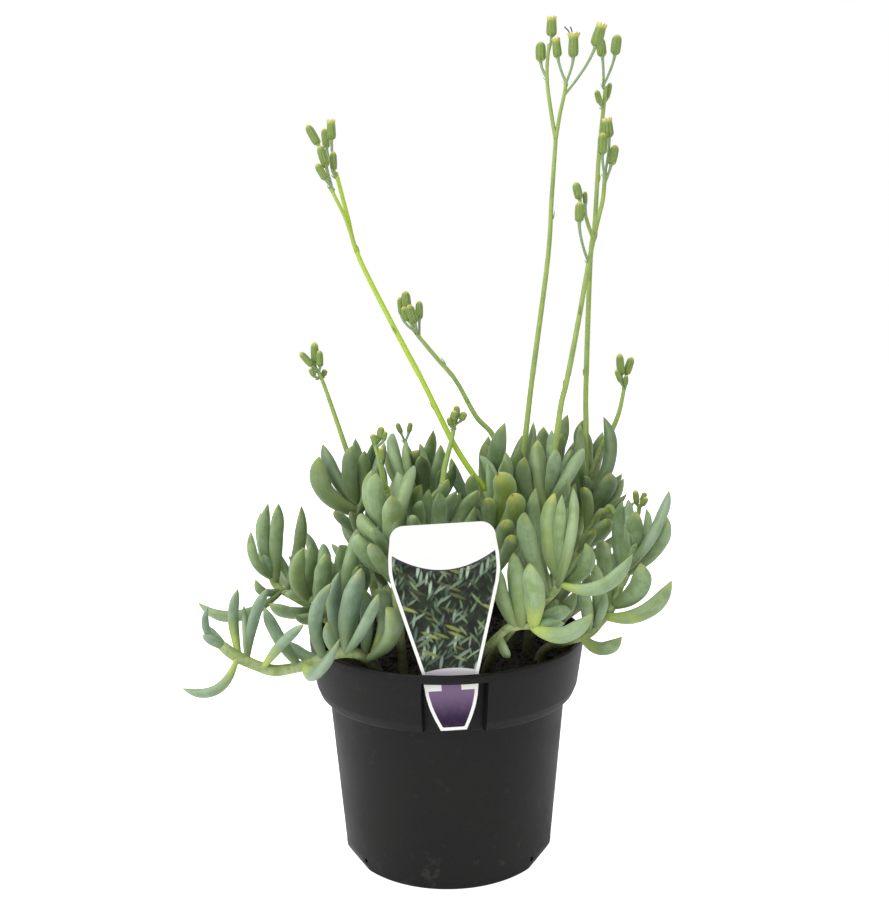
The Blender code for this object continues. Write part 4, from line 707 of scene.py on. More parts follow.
def make_chip_shell(draw):
    """Crumbs of two six-sided rings and two points each, flattened, turned at random, on the ground."""
    radius = SOIL_EDGE_RADIUS * np.sqrt(draw.uniform(0, 0.93, CHIP_COUNT))
    angle = draw.uniform(0, 2 * np.pi, CHIP_COUNT)
    radius = np.where(off_pocket(np.degrees(angle)) < TAG_CLEAR_ANGLE, radius * 0.88, radius)
    size = draw.uniform(0.5, 1.0, CHIP_COUNT) ** 2 * CHIP_SIZE
    middle = xyz(radius * np.cos(angle), radius * np.sin(angle), soil_height(radius) - 0.5)
    first = unit(draw.normal(size=(CHIP_COUNT, 3)) * [1, 1, 0.35])
    second = unit(np.cross(first, draw.normal(size=(CHIP_COUNT, 3))))
    third = np.cross(first, second)
    turn = full_turn(CHIP_SIDES)[:, None]
    ring = draw.uniform(0.6, 1.1, (CHIP_COUNT, 2, CHIP_SIDES))
    across = np.cos(turn) * second[:, None, None] + 0.55 * np.sin(turn) * third[:, None, None]
    along = np.array([-0.55, 0.55])[None, :, None, None] * first[:, None, None]
    rings = middle[:, None, None] + size[:, None, None, None] * (ring[..., None] * across * 0.6 + along)
    ends = middle[:, None] + size[:, None, None] * np.array([-0.9, 0.9])[None, :, None] * first[:, None]
    shade = np.broadcast_to(draw.uniform(0, 1, CHIP_COUNT)[:, None, None], rings.shape[:3])
    return skin(rings, ends, shade=shade)


def soil_finish():
    """Damp bark and peat: black-brown, each chip a little lighter or darker, rough all over."""
    finish, tree, shader = new_finish("potting_mix", Specular_IOR_Level=0.3)
    place = object_place(tree)
    patch = patches(tree, place, 220.0, 0.5, 0.15)
    fibre = patches(tree, place, 900.0, 0.62, 0.08)
    shade = sums(tree, "POWER", carried(tree, "shade"), 3.0)
    dark = blend(tree, patch, tone(15, 13, 11), tone(30, 24, 18))
    colour = layered(tree, dark, (shade, tone(56, 42, 31)), (times(tree, fibre, 0.5), tone(58, 48, 36)))
    dress(tree, shader, colour, between(tree, patch, 0.0, 1.0, 0.8, 0.97), place, (700.0, 1.0), (0.8, 0.0008))
    return finish


soil_draw = np.random.default_rng(SOIL_SEED)
soil_shell = joined([make_soil_shell(soil_draw), make_chip_shell(soil_draw)])
soil = add_piece("potting_soil", soil_shell, soil_finish(), "soil", "soil")
soil.data.set_sharp_from_angle(angle=SHARP_SOIL)
print("soil faces:", len(soil.data.polygons))

# %% [markdown]
# ## The plant tag
#
# The tag is a stiff card of white plastic, wide at the head and drawn in to a tail that stands in the
# pocket. Its body is a flat tube: at each height the section is a thin rectangle as wide as the outline
# there. The print is worked out in the shader from two things that the mesh carries: the place on the
# card in millimetres, and the distance to the card's edge, which leaves a white border of even width.
# The header stays bare, and the picture is a plain pattern of leafy slivers in dark and pale green.

# %% Tag: card
TAG_THICKNESS = 0.7
TAG_FOOT = (2.9, -63.9, 84.9)
TAG_TILT = 2.7
TAG_YAW = 1.2
TAG_LEAN = 3.2
TAG_HALF_WIDTHS = (  # height up the card, half its width there
    (0.0, 5.9), (5.5, 8.4), (11.0, 10.4), (16.5, 11.7), (22.0, 12.3), (28.0, 12.9),
    (49.0, 18.4), (70.0, 23.8), (76.0, 24.7), (83.0, 24.5), (90.5, 23.4))
TAG_HEIGHT = 97.3
TAG_CORNER = 6.5
CARD_EDGE = 0.12
TAG_COLUMNS = 41
TAG_ROWS = 84
SHARP_CARD = math.radians(50)


def tag_point(across, height, depth=0.0):
    """A place on the card's plane, which stands in the pocket and leans a little."""
    tilt, lean, turn = math.radians(TAG_TILT), math.radians(TAG_LEAN), math.radians(TAG_YAW)
    x = across * math.cos(tilt) - height * math.sin(tilt)
    rise = across * math.sin(tilt) + height * math.cos(tilt)
    y = -rise * math.sin(lean) - depth * math.cos(lean)
    z = rise * math.cos(lean) - depth * math.sin(lean)
    turned = xyz(x * math.cos(turn) - y * math.sin(turn), x * math.sin(turn) + y * math.cos(turn), z)
    return np.array(TAG_FOOT) + turned


def tag_half_width(height):
    """Half the card's width: straight between the outline's places, then a quarter circle at the head."""
    height = np.asarray(height, float)
    half = np.interp(height, *zip(*TAG_HALF_WIDTHS))
    over = np.clip((height - (TAG_HEIGHT - TAG_CORNER)) / TAG_CORNER, 0, 1)
    return half - TAG_CORNER * (1 - np.sqrt(1 - over**2))


def edge_distance(across, height):
    """Distance from places on the card to its outline, measured to the outline's straight pieces."""
    rise = np.concatenate([np.linspace(0, TAG_HEIGHT - TAG_CORNER, 40),
                           TAG_HEIGHT - TAG_CORNER * (1 - np.sin(np.linspace(0, np.pi / 2, 24)))])
    right = np.stack([tag_half_width(rise), rise], axis=1)
    outline = np.vstack([right, right[::-1] * [-1, 1], right[:1]])
    first, step = outline[:-1], np.diff(outline, axis=0)
    place = xyz(across, height, 0.0)[..., None, :2]
    share = ((place - first) * step).sum(-1) / np.maximum((step**2).sum(-1), 1e-9)
    nearest = first + np.clip(share, 0, 1)[..., None] * step
    return np.linalg.norm(place - nearest, axis=-1).min(axis=-1)


def make_tag_shell():
    """Rings up the card: across the front from left to right, then back again behind, with bevelled edges."""
    rise = np.concatenate([[0.0, CARD_EDGE], np.linspace(0.9, TAG_HEIGHT - TAG_CORNER, TAG_ROWS),
                           TAG_HEIGHT - TAG_CORNER * (1 - np.sin(np.linspace(0.12, np.pi / 2, 16)))])
    half = tag_half_width(rise)
    side = np.sin(np.linspace(-1, 1, TAG_COLUMNS) * np.pi / 2 * 0.9) / math.sin(np.pi / 2 * 0.9)
    front = half[:, None] * side
    across = np.concatenate([front, front[:, ::-1]], axis=1)
    depth = np.repeat([TAG_THICKNESS / 2, -TAG_THICKNESS / 2], TAG_COLUMNS)
    rings = tag_point(across, rise[:, None], depth)
    flat = xyz(across, rise[:, None], depth)
    edge = edge_distance(across, rise[:, None])
    ends = np.stack([rings[0].mean(axis=0), rings[-1].mean(axis=0)])
    return skin(rings[None], ends[None], card_place=flat[None], card_edge=edge[None])


# %% Tag: print
BORDER = 1.5
CURVE_LOW = 76.4
CURVE_RISE = 7.2
STRIP_TOP = 30.2
STRIP_DROP = 1.6
TAIL_TOP = 21.5
TAIL_SHADE_FOOT = 4.0
CURVE_SPAN = 22.0
STRIP_SPAN = 12.0
PICTURE_LAYERS = (  # turn in degrees, cells a millimetre, slimness, offset, palest and deepest colour
    (12, 0.62, 0.24, (3.0, 7.0, 0.0), tone(98, 122, 94), tone(30, 44, 34)),
    (-34, 0.56, 0.22, (11.0, 2.0, 0.0), tone(112, 136, 104), tone(34, 50, 40)),
    (36, 0.50, 0.22, (25.0, 9.0, 0.0), tone(120, 142, 98), tone(46, 62, 44)),
    (-12, 0.46, 0.21, (5.0, 19.0, 0.0), tone(176, 196, 174), tone(66, 90, 78)),
    (64, 0.40, 0.20, (31.0, 5.0, 0.0), tone(150, 158, 84), tone(34, 44, 28)),
    (-58, 0.42, 0.20, (17.0, 23.0, 0.0), tone(140, 160, 134), tone(38, 54, 44)),
)


def slivers(tree, place, turn, size, slim, offset):
    """Long thin leaf marks: stretched Voronoi cells, bright along each cell's middle. Mask and number."""
    laid = node(tree, "ShaderNodeMapping", {
        "Vector": place, "Rotation": (0.0, 0.0, math.radians(turn)), "Location": offset,
        "Scale": (1.0, 1 / slim, 1.0)}, vector_type="TEXTURE").outputs[0]
    cells = node(tree, "ShaderNodeTexVoronoi", {"Vector": laid, "Scale": size, "Randomness": 1.0})
    mask = between(tree, cells.outputs["Distance"], 0.20, 0.44, 1.0, 0.0)
    number = node(tree, "ShaderNodeSeparateColor", {0: cells.outputs["Color"]}).outputs[0]
    return mask, number


def leafy_picture(tree, flat):
    """A dark ground with layers of slivers; in each layer a little more than half of the cells show."""
    shadow = patches(tree, flat, 0.16, 0.52, 0.2)
    colour = blend(tree, shadow, tone(20, 26, 18), tone(42, 52, 36))
    for turn, size, slim, offset, pale, deep in PICTURE_LAYERS:
        mask, number = slivers(tree, flat, turn, size, slim, offset)
        shown = times(tree, mask, between(tree, number, 0.42, 0.48))
        colour = blend(tree, shown, colour, blend(tree, between(tree, number, 0.42, 1.0), deep, pale))
    return colour


def card_print():
    """White card; below a sagging purple line a leafy pattern, a pale strip, and a purple tail."""
    finish, tree, shader = new_finish("printed_card", Roughness=0.4, Specular_IOR_Level=0.2)
    flat = carried(tree, "card_place", "Vector")
    axes = node(tree, "ShaderNodeSeparateXYZ", {0: flat})
    across, height, depth = (axes.outputs[k] for k in range(3))
    wide = times(tree, across, across)
    curve = sums(tree, "ADD", times(tree, wide, CURVE_RISE / CURVE_SPAN**2), CURVE_LOW)
    below = sums(tree, "SUBTRACT", curve, height)
    strip_top = sums(tree, "SUBTRACT", STRIP_TOP, times(tree, wide, STRIP_DROP / STRIP_SPAN**2))
    over_strip = sums(tree, "SUBTRACT", height, strip_top)

    fade = between(tree, height, TAIL_SHADE_FOOT, TAIL_TOP, 1.0, 0.0)
    purple = blend(tree, fade, tone(128, 104, 140), tone(42, 18, 56))
    strip = blend(tree, between(tree, across, -12.0, 12.0), tone(214, 208, 218), tone(226, 226, 226))
    is_tail = between(tree, height, TAIL_TOP + 3.0, TAIL_TOP + 3.2, 1.0, 0.0)
    lower = blend(tree, is_tail, strip, purple)
    colour = blend(tree, between(tree, over_strip, -0.05, 0.05), lower, leafy_picture(tree, flat))

    inner = between(tree, carried(tree, "card_edge"), BORDER - 0.06, BORDER + 0.06)
    beside = between(tree, sums(tree, "ABSOLUTE", across), 4.4, 4.6)
    tabs = times(tree, beside, between(tree, height, TAIL_TOP - 2.2, TAIL_TOP - 2.0), is_tail)
    line = times(tree, between(tree, below, -0.05, 0.05), between(tree, below, 0.5, 0.62, 1.0, 0.0))
    face = times(tree, inner, between(tree, below, -0.05, 0.05), between(tree, depth, 0.2, 0.3),
                 sums(tree, "SUBTRACT", 1.0, tabs))
    soft = patches(tree, flat, 0.3, 0.62, 0.12)
    printed = layered(tree, tone(250, 250, 247), (face, blend(tree, line, colour, tone(72, 34, 84))),
                      (times(tree, soft, 0.06), tone(190, 186, 176)))
    dress(tree, shader, printed, None, flat, (1.2, 1.5), (0.08, 0.0004))
    return finish


tag = add_piece("plant_tag_card", make_tag_shell(), card_print(), "plant_tag", "plant_tag")
tag.data.set_sharp_from_angle(angle=SHARP_CARD)
print("tag faces:", len(tag.data.polygons))

# %% [markdown]
# ## The plant's plan
#
# The imported model gives the plant's solids, but not which leaf is which, so the plan of the plant is
# given here: the path of every stem, the leaves seen from the front with their tips, widths and bows,
# and the rule that fills the sides that aren't seen. The leaves are then bent clear of each other, so
# that every fine leaf lies where its plain one does.

# %% Stems, leaves and stalks
# Each leafy stem: its path from the soil to its end, and the leaves seen from the front, each with its
# tip, the part of the stem where it grows, its width, and its bow and lean as shares of its length. Fill
# is the number of leaves added by rule, and the azimuths in degrees between which they stand.
LEAFY_STEMS = {
    "trailing_left": {
        "path": ((-30, -40, 92), (-33, -44, 106), (-40, -48, 115), (-50, -49, 117), (-64, -50, 112),
                 (-79, -50, 109), (-88, -52, 112), (-98, -54, 118), (-103, -54, 122)),
        "leaves": ((-122, -58, 104, .92, 7.1, .24, .22), (-109, -56, 142, .98, 3.7, -.21, -.07),
                   (-95, -56, 150, .91, 5.8, -.09, .24), (-95, -44, 139, .87, 4.2, -.02, -.12),
                   (-80, -63, 152, .87, 6.6, -.05, .17), (-86, -41, 137, .60, 6.6, -.03, -.08),
                   (-64, -66, 136, .78, 7.2, -.01, .07), (-77, -37, 119, .48, 7.4, -.08, .08),
                   (-51, -66, 155, .47, 8.2, -.13, .06), (-49, -50, 156, .38, 8.4, -.09, .24),
                   (-38, -59, 160, .35, 12.6, -.05, .08), (-30, -70, 151, .36, 7.7, .03, .0),
                   (-27, -67, 144, .24, 10.9, .18, .09), (-29, -50, 148, .22, 11.9, .23, .24),
                   (-54, -58, 135, .40, 5.8, -.10, -.01), (-47, -73, 132, .58, 7.5, -.08, -.25),
                   (-35, -44, 146, .27, 9.3, .17, .24)),
        "fill": (0, 0, 0), "radius": (2.6, 2.6)},
    "far_left": {
        "path": ((-46, -12, 92), (-50, -13, 110), (-64, -14, 126), (-73, -16, 133), (-80, -16, 137),
                 (-85, -15, 141), (-87, -15, 146)),
        "leaves": ((-95, -20, 169, .97, 5.1, .13, -.14), (-86, -20, 183, .96, 6.5, -.10, .02),
                   (-80, -27, 184, .92, 7.0, -.06, .08), (-72, -6, 179, .83, 7.6, .05, .12),
                   (-92, -8, 176, .98, 6.9, -.05, .04), (-92, -28, 147, .87, 4.9, .05, -.24),
                   (-124, -14, 132, .86, 8.1, .19, .24), (-86, -28, 135, .62, 8.4, .14, -.03)),
        "fill": (1, 60, 120)},
    "middle_left": {
        "path": ((-42, -27, 92), (-44, -28, 108), (-49, -28, 127), (-55, -28, 133), (-61, -27, 136),
                 (-67, -27, 137)),
        "leaves": ((-67, -40, 165, 1.0, 8.8, -.12, -.08), (-63, -22, 163, 1.0, 8.5, .01, .01),
                   (-56, -42, 163, .92, 9.4, .01, -.03), (-59, -12, 160, .86, 9.0, .05, -.20),
                   (-50, -30, 166, .80, 12.1, .01, .24), (-48, -12, 166, .71, 11.1, -.04, -.24),
                   (-42, -40, 157, .72, 7.9, .02, .24), (-72, -38, 132, .79, 7.3, .09, -.24),
                   (-39, -22, 153, .62, 9.1, .11, .24)),
        "fill": (1, 60, 140)},
    "upper_left": {
        "path": ((-30, 2, 92), (-32, 2, 108), (-37, 2, 133), (-42, 2, 156), (-45, 3, 178), (-46, 4, 189)),
        "leaves": ((-62, -8, 204, .84, 12.6, .12, -.19), (-62, 8, 208, .88, 11.5, .07, -.03),
                   (-47, 14, 211, .96, 7.2, -.12, .01), (-46, -8, 209, .89, 8.2, -.01, -.07),
                   (-39, -11, 207, .84, 6.6, -.12, .10), (-35, -1, 211, .83, 8.2, -.07, .24),
                   (-32, 12, 208, .83, 8.9, -.07, -.24), (-54, 16, 190, .85, 5.6, -.10, .06),
                   (-54, -12, 177, .71, 7.2, -.05, -.08), (-47, -17, 178, .65, 5.5, -.10, -.01)),
        "fill": (2, 50, 130)},
    "front_left": {
        "path": ((-20, -38, 92), (-21, -40, 108), (-23, -41, 135), (-25, -40, 159), (-27, -38, 176),
                 (-27, -38, 186)),
        "leaves": ((-34, -34, 201, .86, 9.5, .16, .02), (-31, -50, 202, .84, 8.5, -.07, -.10),
                   (-21, -56, 193, .73, 9.3, -.05, .07), (-23, -32, 202, .90, 12.1, -.01, -.11),
                   (-40, -32, 179, .79, 11.7, .05, .24), (-33, -56, 178, .72, 6.1, -.04, -.05),
                   (-39, -47, 174, .64, 11.2, .06, -.24), (-34, -58, 171, .59, 7.7, -.05, -.06),
                   (-17, -24, 199, .75, 9.8, -.24, -.24)),
        "fill": (1, 60, 120)},
    "centre_left": {
        "path": ((-6, -38, 92), (-7, -39, 108), (-7, -40, 139), (-6, -38, 163), (-4, -34, 180),
                 (-2, -31, 189)),
        "leaves": ((-10, -34, 193, .68, 11.5, .23, -.24), (-10, -50, 189, .62, 7.3, -.24, -.19),
                   (-3, -52, 193, .61, 7.6, -.24, .05), (-5, -38, 192, .70, 6.2, -.24, -.04),
                   (1, -36, 197, .72, 8.6, -.24, .24), (6, -40, 191, .67, 8.4, -.15, .24),
                   (12, -50, 194, .59, 9.5, -.24, .24), (14, -38, 184, .61, 8.0, .08, .24),
                   (-17, -58, 183, .57, 8.1, -.21, -.23), (-15, -56, 176, .55, 6.0, -.21, -.21)),
        "fill": (1, 60, 120)},
    "back_left": {
        "path": ((-13, -6, 92), (-14, -7, 108), (-14, -4, 139), (-13, 0, 170), (-14, 3, 190), (-17, 4, 199)),
        "leaves": ((-24, 18, 212, .80, 9.5, -.24, .24), (-13, -8, 209, .76, 8.7, -.24, -.09),
                   (-8, 4, 215, .80, 8.0, -.09, .24), (-14, 14, 208, .83, 4.6, -.24, -.02),
                   (-10, -16, 205, .72, 8.1, -.23, .09), (-3, 6, 207, .78, 8.9, .08, -.01),
                   (-2, -14, 198, .71, 5.8, -.19, .24), (4, 0, 200, .72, 7.3, .04, .24),
                   (-19, 8, 208, .82, 6.8, -.08, .24)),
        "fill": (2, 60, 120)},
    "centre_right": {
        "path": ((11, -27, 92), (12, -28, 108), (17, -30, 136), (21, -28, 160), (22, -24, 176),
                 (21, -22, 184)),
        "leaves": ((31, -22, 207, .91, 7.5, .01, .24), (27, -34, 205, .90, 6.0, -.20, .12),
                   (24, -44, 200, .84, 11.0, -.16, .16), (14, -30, 198, .92, 6.4, -.07, -.24),
                   (32, -52, 191, .75, 9.6, -.13, .20), (20, -43, 188, .77, 7.6, -.17, -.03),
                   (27, -52, 179, .65, 8.3, -.15, .11), (30, -55, 173, .56, 7.0, -.15, .15),
                   (20, -8, 205, .96, 5.6, -.10, -.07), (21, -18, 201, .93, 5.5, .02, -.08)),
        "fill": (2, 60, 120)},
    "centre_back": {
        "path": ((18, 2, 92), (19, 3, 108), (24, 4, 140), (29, 3, 168), (32, 1, 184)),
        "leaves": ((29, -10, 220, .93, 9.1, .04), (22, -6, 210, .90, 9.6, .05), (40, 6, 212, .92, 7.0, .06),
                   (24, 14, 208, .88, 7.8, .06)),
        "fill": (3, 40, 140)},
    "tall_centre_foot": {
        "path": ((33, -6, 92), (34, -6, 108), (35, -6, 140), (37, -5, 170), (38, -4, 190)),
        "leaves": ((45, 4, 219, .92, 7.0, .05), (37, -14, 208, .92, 6.5, .06)),
        "fill": (4, 20, 160)},
    "upper_right": {
        "path": ((40, -11, 92), (41, -12, 108), (44, -13, 136), (49, -14, 161), (51, -16, 182),
                 (52, -16, 193)),
        "leaves": ((40, -22, 206, .82, 8.3, .07, -.24), (45, -8, 211, .83, 10.3, -.01, .13),
                   (53, -28, 209, .89, 7.4, .0, .01), (63, -20, 207, .91, 8.8, .02, .24),
                   (67, -8, 207, .87, 10.1, -.23, -.24), (58, -31, 194, .78, 6.2, -.09, .11),
                   (54, 3, 215, .91, 4.2, -.21, .03), (60, -37, 157, .29, 7.2, .0, .20),
                   (53, -30, 136, .18, 6.6, -.07, .14)),
        "fill": (1, 40, 100)},
    "front_right": {
        "path": ((17, -37, 92), (20, -41, 108), (29, -47, 125), (37, -51, 134), (45, -53, 141),
                 (50, -54, 147), (53, -54, 152)),
        "leaves": ((40, -44, 194, .90, 9.5, .15, -.24), (35, -61, 185, .85, 10.9, .05, -.22),
                   (51, -45, 191, .99, 9.1, .10, .04), (52, -61, 193, .99, 6.4, .0, -.05),
                   (56, -49, 185, .98, 5.3, -.02, -.24), (60, -38, 192, .95, 8.0, -.24, .24),
                   (62, -60, 171, .96, 7.2, -.20, .20), (84, -62, 166, .98, 9.0, .23, -.17)),
        "fill": (0, 0, 0)},
    "low_right": {
        "path": ((12, -46, 92), (13, -50, 110), (26, -55, 128), (32, -57, 131), (40, -58, 132)),
        "leaves": ((65, -70, 141, .98, 7.4, .02, .24), (58, -49, 135, .98, 7.6, -.12, .07),
                   (29, -54, 115, .69, 6.3, .06, -.02), (37, -69, 164, .99, 12.3, -.05, -.05),
                   (24, -57, 160, .85, 9.8, .07, -.07), (31, -46, 163, .89, 11.3, -.02, .03)),
        "fill": (0, 0, 0)},
    "far_right": {
        "path": ((44, -24, 92), (47, -25, 108), (60, -29, 115), (69, -31, 119), (75, -31, 125),
                 (81, -30, 133), (85, -28, 143), (89, -27, 153)),
        "leaves": ((83, -42, 121, .46, 7.9, .19, .19), (107, -38, 147, .65, 9.8, .19, .03),
                   (91, -43, 157, .73, 10.2, -.03, .19), (105, -35, 177, .93, 8.1, -.04, .24),
                   (109, -20, 187, .96, 8.2, -.15, -.24), (86, -22, 183, .90, 7.4, .05, -.24),
                   (89, -38, 180, .86, 9.0, -.18, -.03), (99, -14, 177, .98, 4.5, -.24, -.06),
                   (91, -11, 181, 1.0, 5.0, -.24, .24), (73, -45, 168, .68, 7.9, -.16, -.23),
                   (74, -50, 145, .55, 4.2, -.01, .03), (67, -54, 160, .57, 6.4, -.07, -.04),
                   (62, -44, 149, .50, 7.1, -.05, -.01)),
        "fill": (1, 60, 120)},
    "right_branch": {
        "path": ((50, -10, 92), (52, -9, 108), (60, -5, 131), (68, -3, 155), (77, -4, 172)),
        "leaves": ((81, -14, 172, .78, 10.7, -.02, .12), (72, -22, 168, .74, 5.1, -.06, .04),
                   (68, -14, 188, .87, 6.1, -.15, -.15), (97, 0, 179, 1.0, 6.8, -.02, -.08),
                   (69, -24, 148, .31, 7.2, -.01, .15), (62, -30, 140, .24, 6.4, -.03, .04)),
        "fill": (1, 60, 120)},
    "back_right": {
        "path": ((52, 4, 92), (54, 5, 108), (61, 8, 131), (68, 10, 154), (72, 11, 172), (73, 12, 182)),
        "leaves": ((83, 2, 192, .88, 12.6, .06, .22), (81, 16, 221, .95, 10.9, .17, .06),
                   (73, 20, 215, .95, 5.0, -.21, .24), (70, -4, 192, .80, 4.8, -.24, .03)),
        "fill": (2, 60, 120)},
    "top_right": {
        "path": ((30, 16, 92), (32, 17, 108), (42, 21, 137), (52, 23, 167), (57, 24, 186)),
        "leaves": ((65, 28, 220, .97, 7.4, .05), (61, 14, 212, .95, 7.8, .05), (54, 32, 213, .97, 8.7, .05),
                   (46, 24, 208, .90, 10.0, .08), (72, 36, 205, .90, 7.4, .08)),
        "fill": (2, 60, 120)},
    "right_back_stalk_foot": {
        "path": ((46, 20, 92), (48, 21, 108), (62, 24, 145), (74, 24, 176), (81, 21, 199)),
        "leaves": (),
        "fill": (7, -60, 150)},
}

# Stems behind, which carry only leaves placed by rule: how many, and the path.
HIDDEN_STEMS = {
    "back_left_low": (6, ((-46, 22, 92), (-48, 24, 108), (-58, 32, 117), (-69, 40, 119), (-77, 45, 122))),
    "back_left_high": (8, ((-23, 24, 92), (-24, 26, 108), (-30, 32, 138), (-36, 36, 164), (-39, 38, 178))),
    "back_centre_left": (8, ((-8, 24, 92), (-8, 26, 108), (-11, 34, 138), (-14, 40, 164), (-14, 42, 184))),
    "back_out_left": (8, ((-26, 46, 92), (-28, 50, 108), (-34, 60, 118), (-41, 69, 126), (-46, 75, 136))),
    "back_out_middle": (8, ((4, 50, 92), (4, 54, 108), (5, 67, 121), (6, 78, 131), (7, 85, 146))),
    "back_centre": (8, ((12, 26, 92), (13, 28, 108), (17, 36, 138), (20, 42, 164), (22, 44, 186))),
    "back_right_high": (8, ((34, 36, 92), (35, 38, 108), (42, 46, 136), (49, 52, 160), (52, 55, 176))),
    "back_right_low": (8, ((46, 31, 92), (50, 34, 110), (61, 41, 124), (74, 49, 138), (80, 53, 153))),
}
for name, (count, path) in HIDDEN_STEMS.items():
    LEAFY_STEMS[name] = {"path": path, "leaves": (), "fill": (count, 0, 360)}

